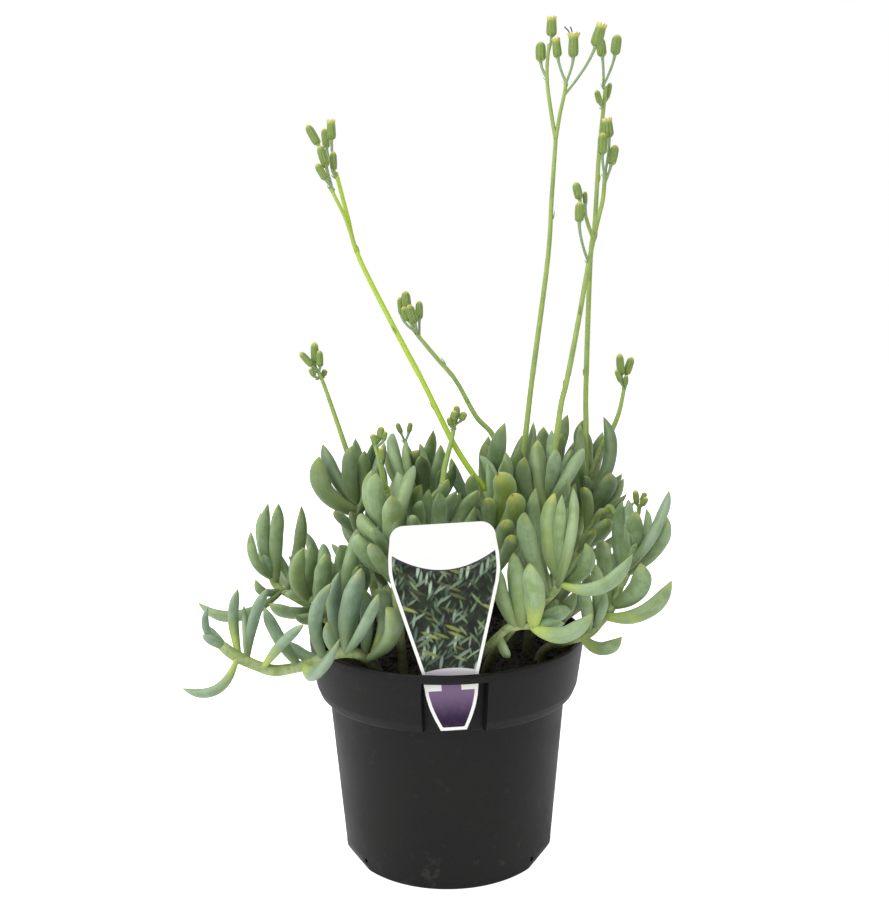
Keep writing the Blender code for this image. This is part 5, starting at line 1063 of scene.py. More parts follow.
# Each flower stalk: the leafy stem on which it stands, its path, its forks, and its buds. A bud has the
# place where its twig starts, its foot, its top, its width, and how open it is: 0 closed, 1 toothed, 2 in
# flower.
FLOWER_STALKS = {
    "tall_left": {
        "on": "centre_right",
        "path": ((14, -22, 196), (4, -21, 212), (-10, -19, 241), (-24, -17, 268), (-40, -15, 301),
                 (-45, -13, 320), (-50, -11, 340)),
        "forks": (((-41, -15, 303), (-45, -17, 317), (-49, -18, 326), (-52, -18, 332)),),
        "buds": (((-51, -18, 332), (-54, -21, 336), (-58, -22, 343), 3.7, 0),
                 ((-51, -18, 331), (-54, -17, 342), (-57, -17, 352), 4.2, 0),
                 ((-52, -18, 332), (-58, -14, 353), (-63, -13, 362), 4.2, 0),
                 ((-50, -11, 338), (-51, -13, 341), (-51, -13, 350), 3.5, 0),
                 ((-51, -11, 340), (-52, -10, 356), (-52, -10, 365), 4.5, 1),
                 ((-50, -11, 339), (-55, -5, 353), (-56, -4, 362), 3.8, 0))},
    "mid_left": {
        "on": "centre_back",
        "path": ((30, 2, 199), (24, 4, 213), (16, 4, 222), (6, 5, 240), (-4, 6, 252), (-13, 6, 263)),
        "buds": (((-13, 6, 263), (-14, 2, 269), (-17, 2, 278), 4.6, 0),
                 ((-13, 6, 264), (-17, 7, 270), (-20, 7, 277), 4.2, 0),
                 ((-13, 6, 264), (-18, 11, 275), (-19, 12, 285), 4.9, 0),
                 ((-12, 6, 262), (-12, 11, 271), (-12, 12, 280), 4.0, 0),
                 ((-13, 6, 264), (-21, 13, 273), (-22, 14, 282), 3.2, 0))},
    "small_left": {
        "on": "upper_left",
        "path": ((-49, 4, 203), (-59, 6, 234), (-63, 6, 245)),
        "buds": (((-63, 6, 245), (-66, 5, 248), (-72, 5, 255), 3.6, 0),
                 ((-63, 6, 245), (-65, 8, 249), (-65, 8, 260), 4.2, 0),
                 ((-63, 6, 245), (-62, 4, 248), (-62, 3, 256), 3.6, 0),
                 ((-63, 6, 242), (-65, 4, 243), (-67, 4, 247), 3.0, 0),
                 ((-62, 6, 242), (-61, 9, 243), (-60, 9, 246), 3.0, 0))},
    "centre_small": {
        "on": "centre_left",
        "path": ((0, -28, 201), (3, -26, 212), (5, -26, 221)),
        "buds": (((5, -26, 221), (4, -28, 223), (5, -29, 228), 3.4, 0),
                 ((5, -26, 221), (6, -25, 224), (6, -24, 230), 3.4, 0),
                 ((5, -26, 221), (8, -26, 223), (10, -26, 227), 3.6, 0),
                 ((5, -26, 219), (3, -29, 221), (2, -30, 225), 2.6, 0))},
    "front_bud": {
        "on": "front_left",
        "path": ((-28, -39, 194), (-30, -42, 206), (-32, -43, 214)),
        "buds": (((-32, -43, 214), (-30, -41, 216), (-29, -40, 222), 3.6, 0),
                 ((-32, -43, 214), (-32, -44, 215), (-33, -44, 219), 3.2, 0),
                 ((-31, -43, 213), (-28, -42, 216), (-27, -42, 220), 2.6, 0),
                 ((-30, -42, 205), (-29, -44, 207), (-29, -45, 213), 2.8, 0))},
    "back_bud": {
        "on": "back_left",
        "path": ((-19, 5, 205), (-20, 5, 210)),
        "buds": (((-20, 5, 209), (-22, 4, 214), (-24, 4, 219), 2.8, 0),
                 ((-20, 5, 209), (-18, 6, 214), (-17, 6, 219), 2.8, 0))},
    "tall_centre": {
        "on": "tall_centre_foot",
        "path": ((40, -2, 207), (44, 0, 240), (52, 3, 299), (54, 4, 329), (56, 5, 357)),
        "forks": (((56, 5, 357), (54, 6, 369), (52, 7, 384), (52, 7, 394), (53, 7, 402)),
                  ((56, 5, 357), (58, 5, 369), (60, 5, 378), (61, 4, 385))),
        "buds": (((53, 7, 400), (54, 7, 406), (54, 6, 415), 5.2, 1),
                 ((52, 7, 386), (49, 9, 395), (49, 9, 404), 5.2, 0),
                 ((61, 4, 383), (57, 6, 396), (56, 6, 405), 4.4, 1),
                 ((61, 4, 384), (64, 2, 395), (64, 1, 406), 5.1, 2),
                 ((61, 5, 379), (74, -2, 399), (77, -3, 409), 5.8, 1))},
    "tall_right": {
        "on": "back_right",
        "path": ((73, 13, 198), (73, 13, 214), (73, 14, 239), (75, 16, 300), (77, 16, 317), (79, 17, 351),
                 (82, 17, 384)),
        "buds": (((81, 17, 384), (81, 22, 400), (80, 23, 409), 5.0, 0),
                 ((81, 17, 385), (86, 14, 399), (87, 13, 408), 5.2, 0),
                 ((81, 17, 374), (79, 15, 376), (77, 14, 382), 3.2, 0),
                 ((81, 17, 376), (83, 20, 379), (85, 21, 387), 3.0, 0))},
    "tall_front_right": {
        "on": "upper_right",
        "path": ((54, -15, 208), (57, -14, 229), (60, -13, 241), (66, -9, 270), (71, -6, 297), (75, -6, 316),
                 (78, -4, 328), (79, -3, 341)),
        "forks": (((73, -6, 309), (70, -10, 315), (68, -12, 321)),),
        "buds": (((79, -3, 340), (81, -1, 357), (80, -1, 366), 5.3, 1),
                 ((79, -3, 338), (77, -7, 348), (77, -8, 358), 4.8, 0),
                 ((79, -3, 335), (82, -3, 344), (84, -3, 353), 4.6, 0),
                 ((68, -12, 320), (66, -9, 327), (64, -9, 335), 4.3, 0),
                 ((71, -6, 297), (65, -16, 316), (65, -17, 325), 4.5, 0),
                 ((69, -11, 318), (69, -7, 325), (69, -6, 331), 2.4, 0))},
    "small_right": {
        "on": "right_back_stalk_foot",
        "path": ((86, 20, 209), (91, 20, 221), (94, 20, 236)),
        "buds": (((94, 20, 236), (92, 20, 241), (91, 20, 252), 4.2, 0),
                 ((94, 20, 236), (95, 22, 241), (98, 23, 250), 4.2, 0),
                 ((94, 20, 234), (91, 17, 238), (89, 17, 244), 3.0, 0),
                 ((94, 20, 234), (94, 17, 236), (94, 17, 241), 2.8, 0))},
    "side_right": {
        "on": "right_branch",
        "path": ((88, -9, 169), (95, -12, 173), (96, -13, 177)),
        "buds": (((96, -13, 177), (95, -12, 179), (94, -12, 186), 3.2, 0),
                 ((96, -13, 177), (97, -15, 179), (99, -16, 183), 3.2, 0),
                 ((96, -13, 177), (98, -9, 180), (100, -8, 184), 2.8, 0))},
}
print("leafy stems:", len(LEAFY_STEMS), "flower stalks:", len(FLOWER_STALKS))

# %% Lines and leaf outlines
STEM_FOOT_RADIUS = 2.5
STEM_TIP_RADIUS = 1.7
JOINT_RISE = 4.0
JOINT_GAP = 0.5
JOINT_STRAIGHT = 3.0
STALK_FOOT_RADIUS = 1.45
STALK_TIP_RADIUS = 0.95
WIDE_FROM = 0.5
WIDE_TO = 0.62
NECK_SHARE = 0.5
TIP_POWER = 2.5
LEAF_THICKNESS = 0.66
GOLDEN_ANGLE = 137.5
SEED = 11


def stem_point(path, share):
    """The point at a share of a path's length."""
    points = np.array(path, float)
    along = np.concatenate([[0.0], np.cumsum(np.linalg.norm(np.diff(points, axis=0), axis=1))])
    return np.array([np.interp(share * along[-1], along, points[:, k]) for k in range(3)])


def smooth_path(points, count):
    """Points at even steps on a smooth curve through the given ones (a Catmull-Rom curve)."""
    given = np.array(points, float)
    ends = np.vstack([2 * given[0] - given[1], given, 2 * given[-1] - given[-2]])
    fine = []
    for k in range(len(given) - 1):
        a, b, c, d = ends[k:k + 4]
        t = np.linspace(0, 1, 12, endpoint=False)[:, None]
        fine.append(0.5 * (2 * b + (c - a) * t + (2 * a - 5 * b + 4 * c - d) * t**2
                           + (3 * b - a - 3 * c + d) * t**3))
    fine = np.vstack([*fine, given[-1:]])
    along = np.concatenate([[0.0], np.cumsum(np.linalg.norm(np.diff(fine, axis=0), axis=1))])
    places = np.linspace(0, along[-1], count)
    return np.stack([np.interp(places, along, fine[:, k]) for k in range(3)], axis=1)


def outline_share(t, power=TIP_POWER):
    """A leaf's width along its length, from a narrow neck to the widest place and on to a pointed tip."""
    t = np.asarray(t, float)
    rise = NECK_SHARE + (1 - NECK_SHARE) * np.sin(np.pi / 2 * np.clip(t / WIDE_FROM, 0, 1))
    fall = 1 - np.clip((t - WIDE_TO) / (1 - WIDE_TO), 0, 1) ** power
    return np.minimum(rise, fall)


def stem_frame(path, share):
    """The place on a stem and the direction in which it grows there."""
    ahead = stem_point(path, min(1.0, share + 0.04))
    behind = stem_point(path, max(0.0, share - 0.04))
    return stem_point(path, share), unit(ahead - behind)


def stalk_joint(stalk):
    """Where a stem ends and its flower stalk begins, and the direction both take there."""
    under = np.array(LEAFY_STEMS[stalk["on"]]["path"], float)
    way = unit(np.array(stalk["path"][0], float) - under[-2])
    return under[-1] + way * JOINT_RISE, way


def stalk_path(stalk):
    """A flower stalk's path, starting just above the end of the leafy stem that carries it."""
    end, way = stalk_joint(stalk)
    return [end + way * JOINT_GAP, end + way * (JOINT_GAP + JOINT_STRAIGHT),
            *[np.array(point, float) for point in stalk["path"]]]


# %% Plan every leaf
def leaf_record(stem, path, share, tip, width, bow, lean=0.0):
    """One leaf: root, middle control point and tip of its centre line, its width and its upper side."""
    root, along = stem_frame(path, share)
    chord = tip - root
    length = np.linalg.norm(chord)
    aim = chord / length
    straight = float(aim @ along)
    side = unit(aim - straight * along)
    outward = straight * side - math.sqrt(max(0.0, 1 - straight**2)) * along
    bent = outward * bow + np.cross(aim, outward) * lean
    inward = unit(np.array([-0.4 * root[0], 20 - root[1], 0.0]))
    return {"stem": stem, "root": root, "middle": root + chord * 0.5 + bent * length * 2,
            "tip": np.array(tip, float), "width": width, "upper": unit(0.7 * inward - outward)}


def filled_leaf(stem, path, share, azimuth, draw):
    """A leaf placed by rule: it leaves the stem towards an azimuth and turns up, less so lower down."""
    root, along = stem_frame(path, share)
    lift = unit(along + np.array([0, 0, 0.7]))
    out = np.array([math.cos(azimuth), math.sin(azimuth), 0.0])
    out = unit(out - (out @ lift) * lift)
    pitch = math.radians(62 - 36 * share + draw.uniform(-5, 5))
    length = 40 - 8 * share + draw.uniform(-4, 4)
    tip = root + length * (math.cos(pitch) * lift + math.sin(pitch) * out)
    width = 7.9 + draw.uniform(-0.7, 1.0)
    return leaf_record(stem, path, share, tip, width, 0.10 + draw.uniform(-0.03, 0.05))


def plan_leaves():
    """Every leaf of every stem: those seen from the front, those placed by rule, and young ones on top."""
    draw = np.random.default_rng(SEED)
    carried_stems = {stalk["on"] for stalk in FLOWER_STALKS.values()}
    leaves = []
    for stem, (name, plant) in enumerate(LEAFY_STEMS.items()):
        path = plant["path"]
        for x, y, z, share, width, *bends in plant["leaves"]:
            leaves.append(leaf_record(stem, path, share, np.array([x, y, z], float), width, *bends))
        count, first, last = plant["fill"]
        whole = last - first >= 360
        low = 0.5 if whole else 0.6
        for k in range(count):
            turn = k * GOLDEN_ANGLE + 40 * stem if whole else first + (last - first) * (k + 0.5) / count
            share = low + (0.92 - low) * (k + 0.5) / count
            leaves.append(filled_leaf(stem, path, share, math.radians(turn), draw))
        if name in carried_stems or not plant["leaves"]:
            continue
        for k in range(2):
            root, along = stem_frame(path, 1.0)
            azimuth = math.radians(90 + 180 * k + 25 * stem)
            out = np.array([math.cos(azimuth), math.sin(azimuth), 0.2])
            tip = root + unit(along + 0.34 * out) * (14 - 2 * k)
            leaves.append(leaf_record(stem, path, 0.985, tip, 4.4, 0.03))
    return leaves


# %% Bend leaves clear of each other
FACET_ALLOWANCE = 1.08
CLEARANCE = 1.0
OWN_CLEARANCE = 0.1
SETTLE_ROUNDS = 260
SETTLE_SAMPLES = (0.12, 0.25, 0.38, 0.51, 0.64, 0.77, 0.89, 1.0)
STIFFNESS = 0.012
FREE_ROUNDS = 80


def leaf_samples(root, middle, tip, upper, places):
    """Points, directions and section axes along many leaves at once, on quadratic curves."""
    t = np.asarray(places, float)[None, :, None]
    root, middle, tip = root[:, None], middle[:, None], tip[:, None]
    points = (1 - t) ** 2 * root + 2 * t * (1 - t) * middle + t**2 * tip
    ahead = unit(2 * (1 - t) * (middle - root) + 2 * t * (tip - middle))
    wide = unit(np.cross(ahead, upper[:, None]))
    return points, ahead, wide, np.cross(ahead, wide)


def obstacle_points():
    """Things that leaves keep clear of: every stem, every flower stalk with its buds, and the tag."""
    points, sizes, owners = [], [], []
    for stem, plant in enumerate(LEAFY_STEMS.values()):
        points.append(smooth_path(plant["path"], 24))
        sizes.append(np.full(24, STEM_FOOT_RADIUS))
        owners.append(np.full(24, stem))
    for stalk in FLOWER_STALKS.values():
        line = smooth_path(stalk_path(stalk), 40)
        points.append(line)
        sizes.append(np.full(40, STALK_FOOT_RADIUS))
        owners.append(np.full(40, -1))
        for start, _, top, width, _ in stalk["buds"]:
            points.append(np.linspace(start, top, 6))
            sizes.append(np.full(6, width / 2))
            owners.append(np.full(6, -1))
    for height in np.arange(14, TAG_HEIGHT + 1, 5.5):
        half = np.interp(height, *zip(*TAG_HALF_WIDTHS))
        points.append(tag_point(np.linspace(-half, half, 9), height))
        sizes.append(np.full(9, 1.8))
        owners.append(np.full(9, -1))
    return np.vstack(points), np.concatenate(sizes), np.concatenate(owners)


def pot_push(points, sizes):
    """How far each point must move to clear the soil, the pot's lip and its outer wall."""
    radius = np.maximum(np.hypot(points[:, 0], points[:, 1]), 1e-6)
    out = points * [1, 1, 0] / radius[:, None]
    push = np.zeros_like(points)
    over_soil = radius < RIM_RADIUS - 3
    push[:, 2] += np.where(over_soil, np.maximum(0, SOIL_CROWN_Z + 0.8 + sizes - points[:, 2]), 0)
    away = points - (out * (RIM_RADIUS - 1) + [0, 0, POT_HEIGHT - 1])
    span = np.linalg.norm(away, axis=1)
    short = np.maximum(0, sizes + 2.2 - span)
    push += away / np.maximum(span, 1e-6)[:, None] * short[:, None]
    beside_wall = (radius >= RIM_RADIUS - 3) & (points[:, 2] < POT_HEIGHT)
    push += out * np.where(beside_wall, np.maximum(0, RIM_RADIUS + 0.8 + sizes - radius), 0)[:, None]
    return push


def limit(step, most):
    """Steps no longer than the most allowed."""
    length = np.linalg.norm(step, axis=1, keepdims=True)
    return step * np.minimum(1.0, most / np.maximum(length, 1e-9))


def close_pairs(points, outer, owner, near_root, leaf_of, moving):
    """Pairs of places that may touch: on different stems, or on the outer stretches of one stem's leaves."""
    span = np.sqrt(((points[:moving, None, :] - points[None, :, :]) ** 2).sum(axis=2))
    close = span < outer[:moving, None] + outer[None, :] + CLEARANCE + 3
    close &= np.arange(moving)[:, None] < np.arange(len(points))[None, :]
    same = owner[:moving, None] == owner[None, :]
    close &= ~(same & (near_root[:moving, None] | near_root[None, :]))
    leaf_full = np.concatenate([leaf_of, np.full(len(points) - moving, -1)])
    close &= leaf_full[:moving, None] != leaf_full[None, :]
    return np.nonzero(close)


def side_reach(index, aim, moving, wide, thick, half_wide, half_thick, outer):
    """How far a leaf's oval section, or a round thing, reaches in the direction of the other."""
    reach = outer[index].copy()
    leafy = index < moving
    which = index[leafy]
    across = (aim[leafy] * wide.reshape(-1, 3)[which]).sum(axis=1) * half_wide[which]
    through = (aim[leafy] * thick.reshape(-1, 3)[which]).sum(axis=1) * half_thick[which]
    reach[leafy] = np.hypot(across, through)
    return reach


def settle(leaves):
    """Move the middle and tip points of leaves that come too close apart, round by round.

    Each leaf is a row of flat discs along its centre line, and a weak pull keeps it near its planned place.
    """
    root, middle, tip, upper, width, stem = (np.array([leaf[key] for leaf in leaves]) for key in (
        "root", "middle", "tip", "upper", "width", "stem"))
    planned_middle, planned_tip = middle.copy(), tip.copy()
    reach = np.linalg.norm(tip - root, axis=1)
    places = np.array(SETTLE_SAMPLES)
    per_leaf = len(places)
    half_wide = (width[:, None] / 2 * outline_share(places) * FACET_ALLOWANCE).ravel()
    half_thick = half_wide * LEAF_THICKNESS
    leaf_of = np.repeat(np.arange(len(leaves)), per_leaf)
    place_of = np.tile(places, len(leaves))
    fixed, fixed_size, fixed_owner = obstacle_points()
    owner = np.concatenate([stem[leaf_of], fixed_owner])
    outer = np.concatenate([half_wide, fixed_size])
    moving = len(leaf_of)
    near_root = np.concatenate([place_of < 0.4, np.ones(len(fixed), bool)])
    first = second = None
    for turn in range(SETTLE_ROUNDS):
        points, _, wide, thick = leaf_samples(root, middle, tip, upper, places)
        flat = points.reshape(-1, 3)
        everything = np.vstack([flat, fixed])
        if turn % 10 == 0:
            first, second = close_pairs(everything, outer, owner, near_root, leaf_of, moving)
        gap = everything[second] - everything[first]
        span = np.maximum(np.linalg.norm(gap, axis=1), 1e-6)
        aim = gap / span[:, None]
        needed = side_reach(first, aim, moving, wide, thick, half_wide, half_thick, outer)
        needed += side_reach(second, aim, moving, wide, thick, half_wide, half_thick, outer)
        same = owner[first] == owner[second]
        short = np.maximum(0, needed + np.where(same, OWN_CLEARANCE, CLEARANCE) - span)
        short *= np.where(same, 0.35, 1.0)
        shift = np.zeros_like(everything)
        both = second < moving
        half = np.where(both, 0.5, 1.0)[:, None] * aim * short[:, None]
        np.add.at(shift, first, -half)
        np.add.at(shift, second[both], half[both])
        shift = shift[:moving] + pot_push(flat, half_wide)
        mid_weight, tip_weight = 2 * place_of * (1 - place_of), place_of**2
        scale = 0.5 / (mid_weight**2 + tip_weight**2 + 0.25)
        step_mid, step_tip = np.zeros_like(middle), np.zeros_like(tip)
        np.add.at(step_mid, leaf_of, shift * (mid_weight * scale)[:, None])
        np.add.at(step_tip, leaf_of, shift * (tip_weight * scale)[:, None])
        calm = 1.0 if turn < SETTLE_ROUNDS - FREE_ROUNDS else 0.0
        middle = middle + limit(step_mid, 1.2) + STIFFNESS * calm * (planned_middle - middle)
        tip = tip + limit(step_tip, 1.6) + STIFFNESS * calm * (planned_tip - tip)
        chord = tip - root
        length = np.linalg.norm(chord, axis=1)
        tip = root + chord * (np.clip(length, 0.86 * reach, 1.06 * reach) / length)[:, None]
    for k, leaf in enumerate(leaves):
        leaf["middle"], leaf["tip"] = middle[k], tip[k]


all_leaves = plan_leaves()
settle(all_leaves)
print("leaves:", len(all_leaves))

# %% [markdown]
# ## Leaves and stems
#
# A blue chalk stick leaf is a water store: a plump finger with a rounded back, a flatter upper side and
# a small sharp tip; its edges are painted paler as a sheen. A powdery bloom makes it blue-green and
# scatters light softly. The leaf is a section carried along a curved centre line. The section's width
# follows one outline from a narrow neck to the widest place and on to the point, and small waves keep
# each leaf from being perfect.
# All leaves of a stem are worked out in one go, as one grid of leaf, ring and side.

# %% Leaf surfaces
LEAF_RINGS = 22
LEAF_SIDES = 16
UNDER_BULGE = 1.10
UPPER_BULGE = 0.84
LEAF_SEED = 23


def leaf_skins(leaves, draw):
    """Rings round each leaf's centre line: width * outline * (cos turn * wide + sin turn * thick * bulge).

    The upper side has a shallow channel near its root, and slow waves make the outline uneven.
    """
    count = len(leaves)
    root, middle, tip, upper, width, plump = (np.array([leaf[key] for leaf in leaves]) for key in (
        "root", "middle", "tip", "upper", "width", "plump"))
    step = np.linspace(0, 1, LEAF_RINGS + 1)[:-1]
    t = 1 - (1 - step) ** 1.75
    turn = full_turn(LEAF_SIDES)
    centre, ahead, wide, thick = leaf_samples(root, middle, tip, upper, t)
    power = draw.uniform(2.2, 2.8, count)[:, None] + 0.9 * plump[:, None]
    outline = outline_share(t[None], power)
    phase = draw.uniform(0, 2 * np.pi, (4, count, 1, 1))
    run = t[None, :, None]
    wave = (0.022 * np.sin(7 * run + phase[0] + turn) + 0.018 * np.sin(13 * run + phase[1] - turn)
            + 0.012 * np.sin(19 * run + phase[2] + 2 * turn))
    half = (width[:, None] / 2 * outline)[..., None] * (1 + wave)
    thickness = LEAF_THICKNESS + 0.1 * plump[:, None, None]
    bulge = np.where(np.sin(turn) > 0, UNDER_BULGE, UPPER_BULGE) * thickness
    channel = 0.20 * np.exp(-(np.cos(turn) / 0.42) ** 2) * (np.sin(turn) < 0)
    hollow = channel * np.clip(1 - t / 0.75, 0, 1)[:, None] * draw.uniform(0.3, 1.4, count)[:, None, None]
    swing = np.radians(draw.uniform(-9, 9, count))[:, None, None] * run
    x = half * np.cos(turn)
    y = half * (np.sin(turn) * bulge + hollow)
    flat_x, flat_y = x * np.cos(swing) - y * np.sin(swing), x * np.sin(swing) + y * np.cos(swing)
    rings = (centre[:, :, None] + flat_x[..., None] * wide[:, :, None]
             + flat_y[..., None] * thick[:, :, None])
    ends = np.stack([centre[:, 0] - ahead[:, 0] * 0.4, tip], axis=1)
    length = np.linalg.norm(tip - root, axis=1)
    apart = draw.uniform(-300, 300, (count, 1, 1, 3))
    straight = xyz(x, y, (t[None, :] * length[:, None])[..., None]) + apart
    shape = (count, LEAF_RINGS, LEAF_SIDES)
    tipped = draw.uniform(0.2, 1.0, count) + plump
    # dark carries a random tone plus painted shade for leaves further back.
    own = {name: np.array([leaf[name] for leaf in leaves]) for name in ("warm", "blue", "dark", "fresh")}
    own["tipped"] = tipped
    own = {name: np.broadcast_to(value[:, None, None], shape) for name, value in own.items()}
    # The edge value marks each leaf's edges, which the finish paints paler as a sheen.
    return skin(rings, ends, straight=straight, along=np.broadcast_to(run, shape),
                rim=np.broadcast_to(np.abs(np.cos(turn)) ** 5, shape), leaf=np.ones(shape), **own)


# %% Leaf characters
# By stem: how warm single plump leaves are, which leaves have a fresh root, and how much more or less painted
# shade its leaves get.
PLUMP = {"centre_right": {2: 1.0, 4: 1.0, 5: 0.35, 6: 0.3, 7: 0.45}, "front_right": {2: 0.5},
         "front_left": {2: 0.2}, "right_branch": {1: 0.8, 2: 0.6}, "upper_right": {1: 0.3}}
FRESH = {"trailing_left": (0, 1, 2, 6, 13, 15), "front_right": (7,), "low_right": (0, 3), "far_right": (0, 1)}
PAINTED_SHADE_BY_STEM = {"centre_left": -0.3, "far_left": -0.2, "middle_left": 0.3, "back_right": 0.3, "top_right": 0.3,
         "upper_left": 0.15}
PLUMP_FROM = 0.25


def give_characters(leaves):
    """A few leaves are plump and yellow-green, some have a fresh root, and painted shade darkens those
    further back.
    """
    draw = np.random.default_rng(LEAF_SEED)
    names = list(LEAFY_STEMS)
    seen = dict.fromkeys(names, 0)
    for leaf in leaves:
        name = names[leaf["stem"]]
        number = seen[name]
        seen[name] += 1
        warmth = PLUMP.get(name, {}).get(number, 0.0)
        leaf["plump"] = 1.0 if warmth > PLUMP_FROM else 0.0
        leaf["warm"] = warmth or float(np.clip(draw.normal(0.14, 0.14), 0, 0.6))
        leaf["blue"] = float(np.clip(draw.normal(0.75 if name == "trailing_left" else 0.12, 0.15), 0, 1))
        leaf["fresh"] = 1.0 if number in FRESH.get(name, ()) else 0.15
        # Painted shade: dark is a random tone plus more shade for roots further back and on shady stems.
        depth = (leaf["root"][1] + 22) / 50
        leaf["dark"] = float(np.clip(draw.uniform(0, 0.6) + depth + PAINTED_SHADE_BY_STEM.get(name, 0.0), 0, 1))


give_characters(all_leaves)
print("plump leaves:", sum(leaf["plump"] > 0 for leaf in all_leaves))


# %% Leaf and stem finish
def leaf_finish():
    """Glaucous skin: green flesh under a broken pale bloom, painted shade, rims painted pale as a sheen, a
    yellow root and a warm point.
    """
    finish, tree, shader = new_finish("chalky_leaf", Specular_IOR_Level=0.4, Sheen_Weight=0.25,
                                      Sheen_Roughness=0.5, Subsurface_Weight=0.06, Subsurface_Scale=0.003)
    shader.inputs["Sheen Tint"].default_value = tone(205, 225, 215)
    shader.inputs["Subsurface Radius"].default_value = (0.5, 1.0, 0.3)
    laid = carried(tree, "straight", "Vector")
    along, warm, blue, deep, fresh = (
        carried(tree, name) for name in ("along", "warm", "blue", "dark", "fresh"))
    slim = node(tree, "ShaderNodeMapping", {"Vector": laid, "Scale": (1.0, 1.0, 0.05)}).outputs[0]
    bloom = patches(tree, laid, 0.16, 0.5, 0.13)
    streak = patches(tree, slim, 0.9, 0.56, 0.16)
    smudge = patches(tree, laid, 0.22, 0.70, 0.05)
    speck = patches(tree, laid, 1.3, 0.74, 0.04)

    # Painted shade: the dark value, read as deep, darkens the flesh of leaves further back over a random
    # tone.
    flesh = blend(tree, deep, tone(134, 160, 106), tone(84, 108, 66))
    flesh = layered(tree, flesh, (blue, tone(120, 146, 128)), (warm, tone(158, 174, 82)))
    powder = blend(tree, blue, tone(172, 196, 152), tone(158, 182, 164))
    # The bloom shows less where painted shade darkens a leaf, and on warm leaves.
    shown = times(tree, bloom, between(tree, sums(tree, "MAXIMUM", deep, warm), 0.0, 1.0, 0.62, 0.2))
    # Painted shade: leaves without a fresh root are darker towards their root.
    plain_leaf = between(tree, fresh, 0.2, 0.6, 1.0, 0.0)
    shaded = times(tree, between(tree, along, 0.0, 0.55, 0.5, 0.0), plain_leaf)
    uneven = sums(tree, "ADD", along, times(tree, bloom, 0.22))
    root = times(tree, between(tree, uneven, 0.12, 0.62, 0.95, 0.0), fresh)
    yellow = times(tree, between(tree, along, 0.84, 0.99), carried(tree, "tipped"), 0.55)
    point = times(tree, between(tree, along, 0.972, 0.995), between(tree, warm, 0.5, 0.8, 0.35, 1.0))
    colour = layered(
        tree, flesh,
        (shown, powder),
        (times(tree, streak, 0.30), tone(98, 128, 88)),
        (times(tree, smudge, 0.35), tone(92, 112, 66)),
        (times(tree, speck, 0.5), tone(106, 104, 62)),
        # Painted sheen: paler along the leaf's edges.
        (times(tree, carried(tree, "rim"), 0.30), tone(176, 196, 150)),
        # painted shade at the root
        (shaded, tone(70, 88, 50)),
        (root, tone(186, 204, 104)),
        (yellow, tone(190, 196, 96)),
        (point, tone(120, 84, 60)))
    dress(tree, shader, colour, between(tree, bloom, 0.0, 1.0, 0.44, 0.60), object_place(tree),
          (2200.0, 1.5), (0.16, 0.0003), times(tree, streak, 0.5))
    return finish


def stem_finish():
    """Fleshy skin: pale yellow-green with pinkish and dark green patches, and a painted brown-green shade low
    down near the soil.
    """
    finish, tree, shader = new_finish("fleshy_stem", Specular_IOR_Level=0.4)
    laid = carried(tree, "straight", "Vector")
    patch = patches(tree, laid, 0.25, 0.5, 0.2)
    blush = patches(tree, laid, 0.5, 0.64, 0.08)
    place = object_place(tree)
    level = node(tree, "ShaderNodeVectorMath", {0: place, 1: (1.0, 1.0, 0.0)}, operation="MULTIPLY")
    outward = node(tree, "ShaderNodeVectorMath", {0: level.outputs[0]}, operation="LENGTH").outputs["Value"]
    # Painted shade: stem parts low down and inside the pot's rim turn dark brown-green.
    low_stem_shade = times(tree, between(tree, height_of(tree, place), 0.108, 0.134, 0.92, 0.0),
                  between(tree, outward, 0.060, 0.067, 1.0, 0.0))
    # The dark brown-green of that painted shade.
    bark = blend(tree, patch, tone(64, 58, 40), tone(44, 40, 28))
    colour = layered(tree, blend(tree, patch, tone(176, 190, 136), tone(136, 158, 84)),
                     (times(tree, blush, 0.5), tone(150, 124, 98)), (low_stem_shade, bark))
    dress(tree, shader, colour, between(tree, patch, 0.0, 1.0, 0.5, 0.6), laid, (2.5, 1.5), (0.25, 0.0003))
    return finish


LEAF_FINISH = leaf_finish()
STEM_FINISH = stem_finish()
print("finishes:", LEAF_FINISH.name, STEM_FINISH.name)


# %% Make the leafy stems
STEM_RINGS = 64
STEM_SIDES = 16
DOME_RINGS = 5
LEAF_VALUES = ("rim", "leaf", "tipped", "warm", "blue", "dark", "fresh")


def stem_line(name):
    """A stem's line; under a flower stalk it runs on to the joint."""
    path = [np.array(point, float) for point in LEAFY_STEMS[name]["path"]]
    for stalk in FLOWER_STALKS.values():
        if stalk["on"] == name:
            end, way = stalk_joint(stalk)
            path += [end - way * 0.4]
    return smooth_path(path, STEM_RINGS)


def domed(line, radii):
    """Carry a line on by a half ball at its end: radius * cos(rise), forward by radius * sin(rise)."""
    rise = np.linspace(0, np.pi / 2 * 0.96, DOME_RINGS + 1)[1:]
    ahead = unit(line[-1] - line[-2])
    cap = line[-1] + ahead * (np.sin(rise) * radii[-1])[:, None] * 0.7
    return np.vstack([line, cap]), np.concatenate([radii, radii[-1] * np.cos(rise)])


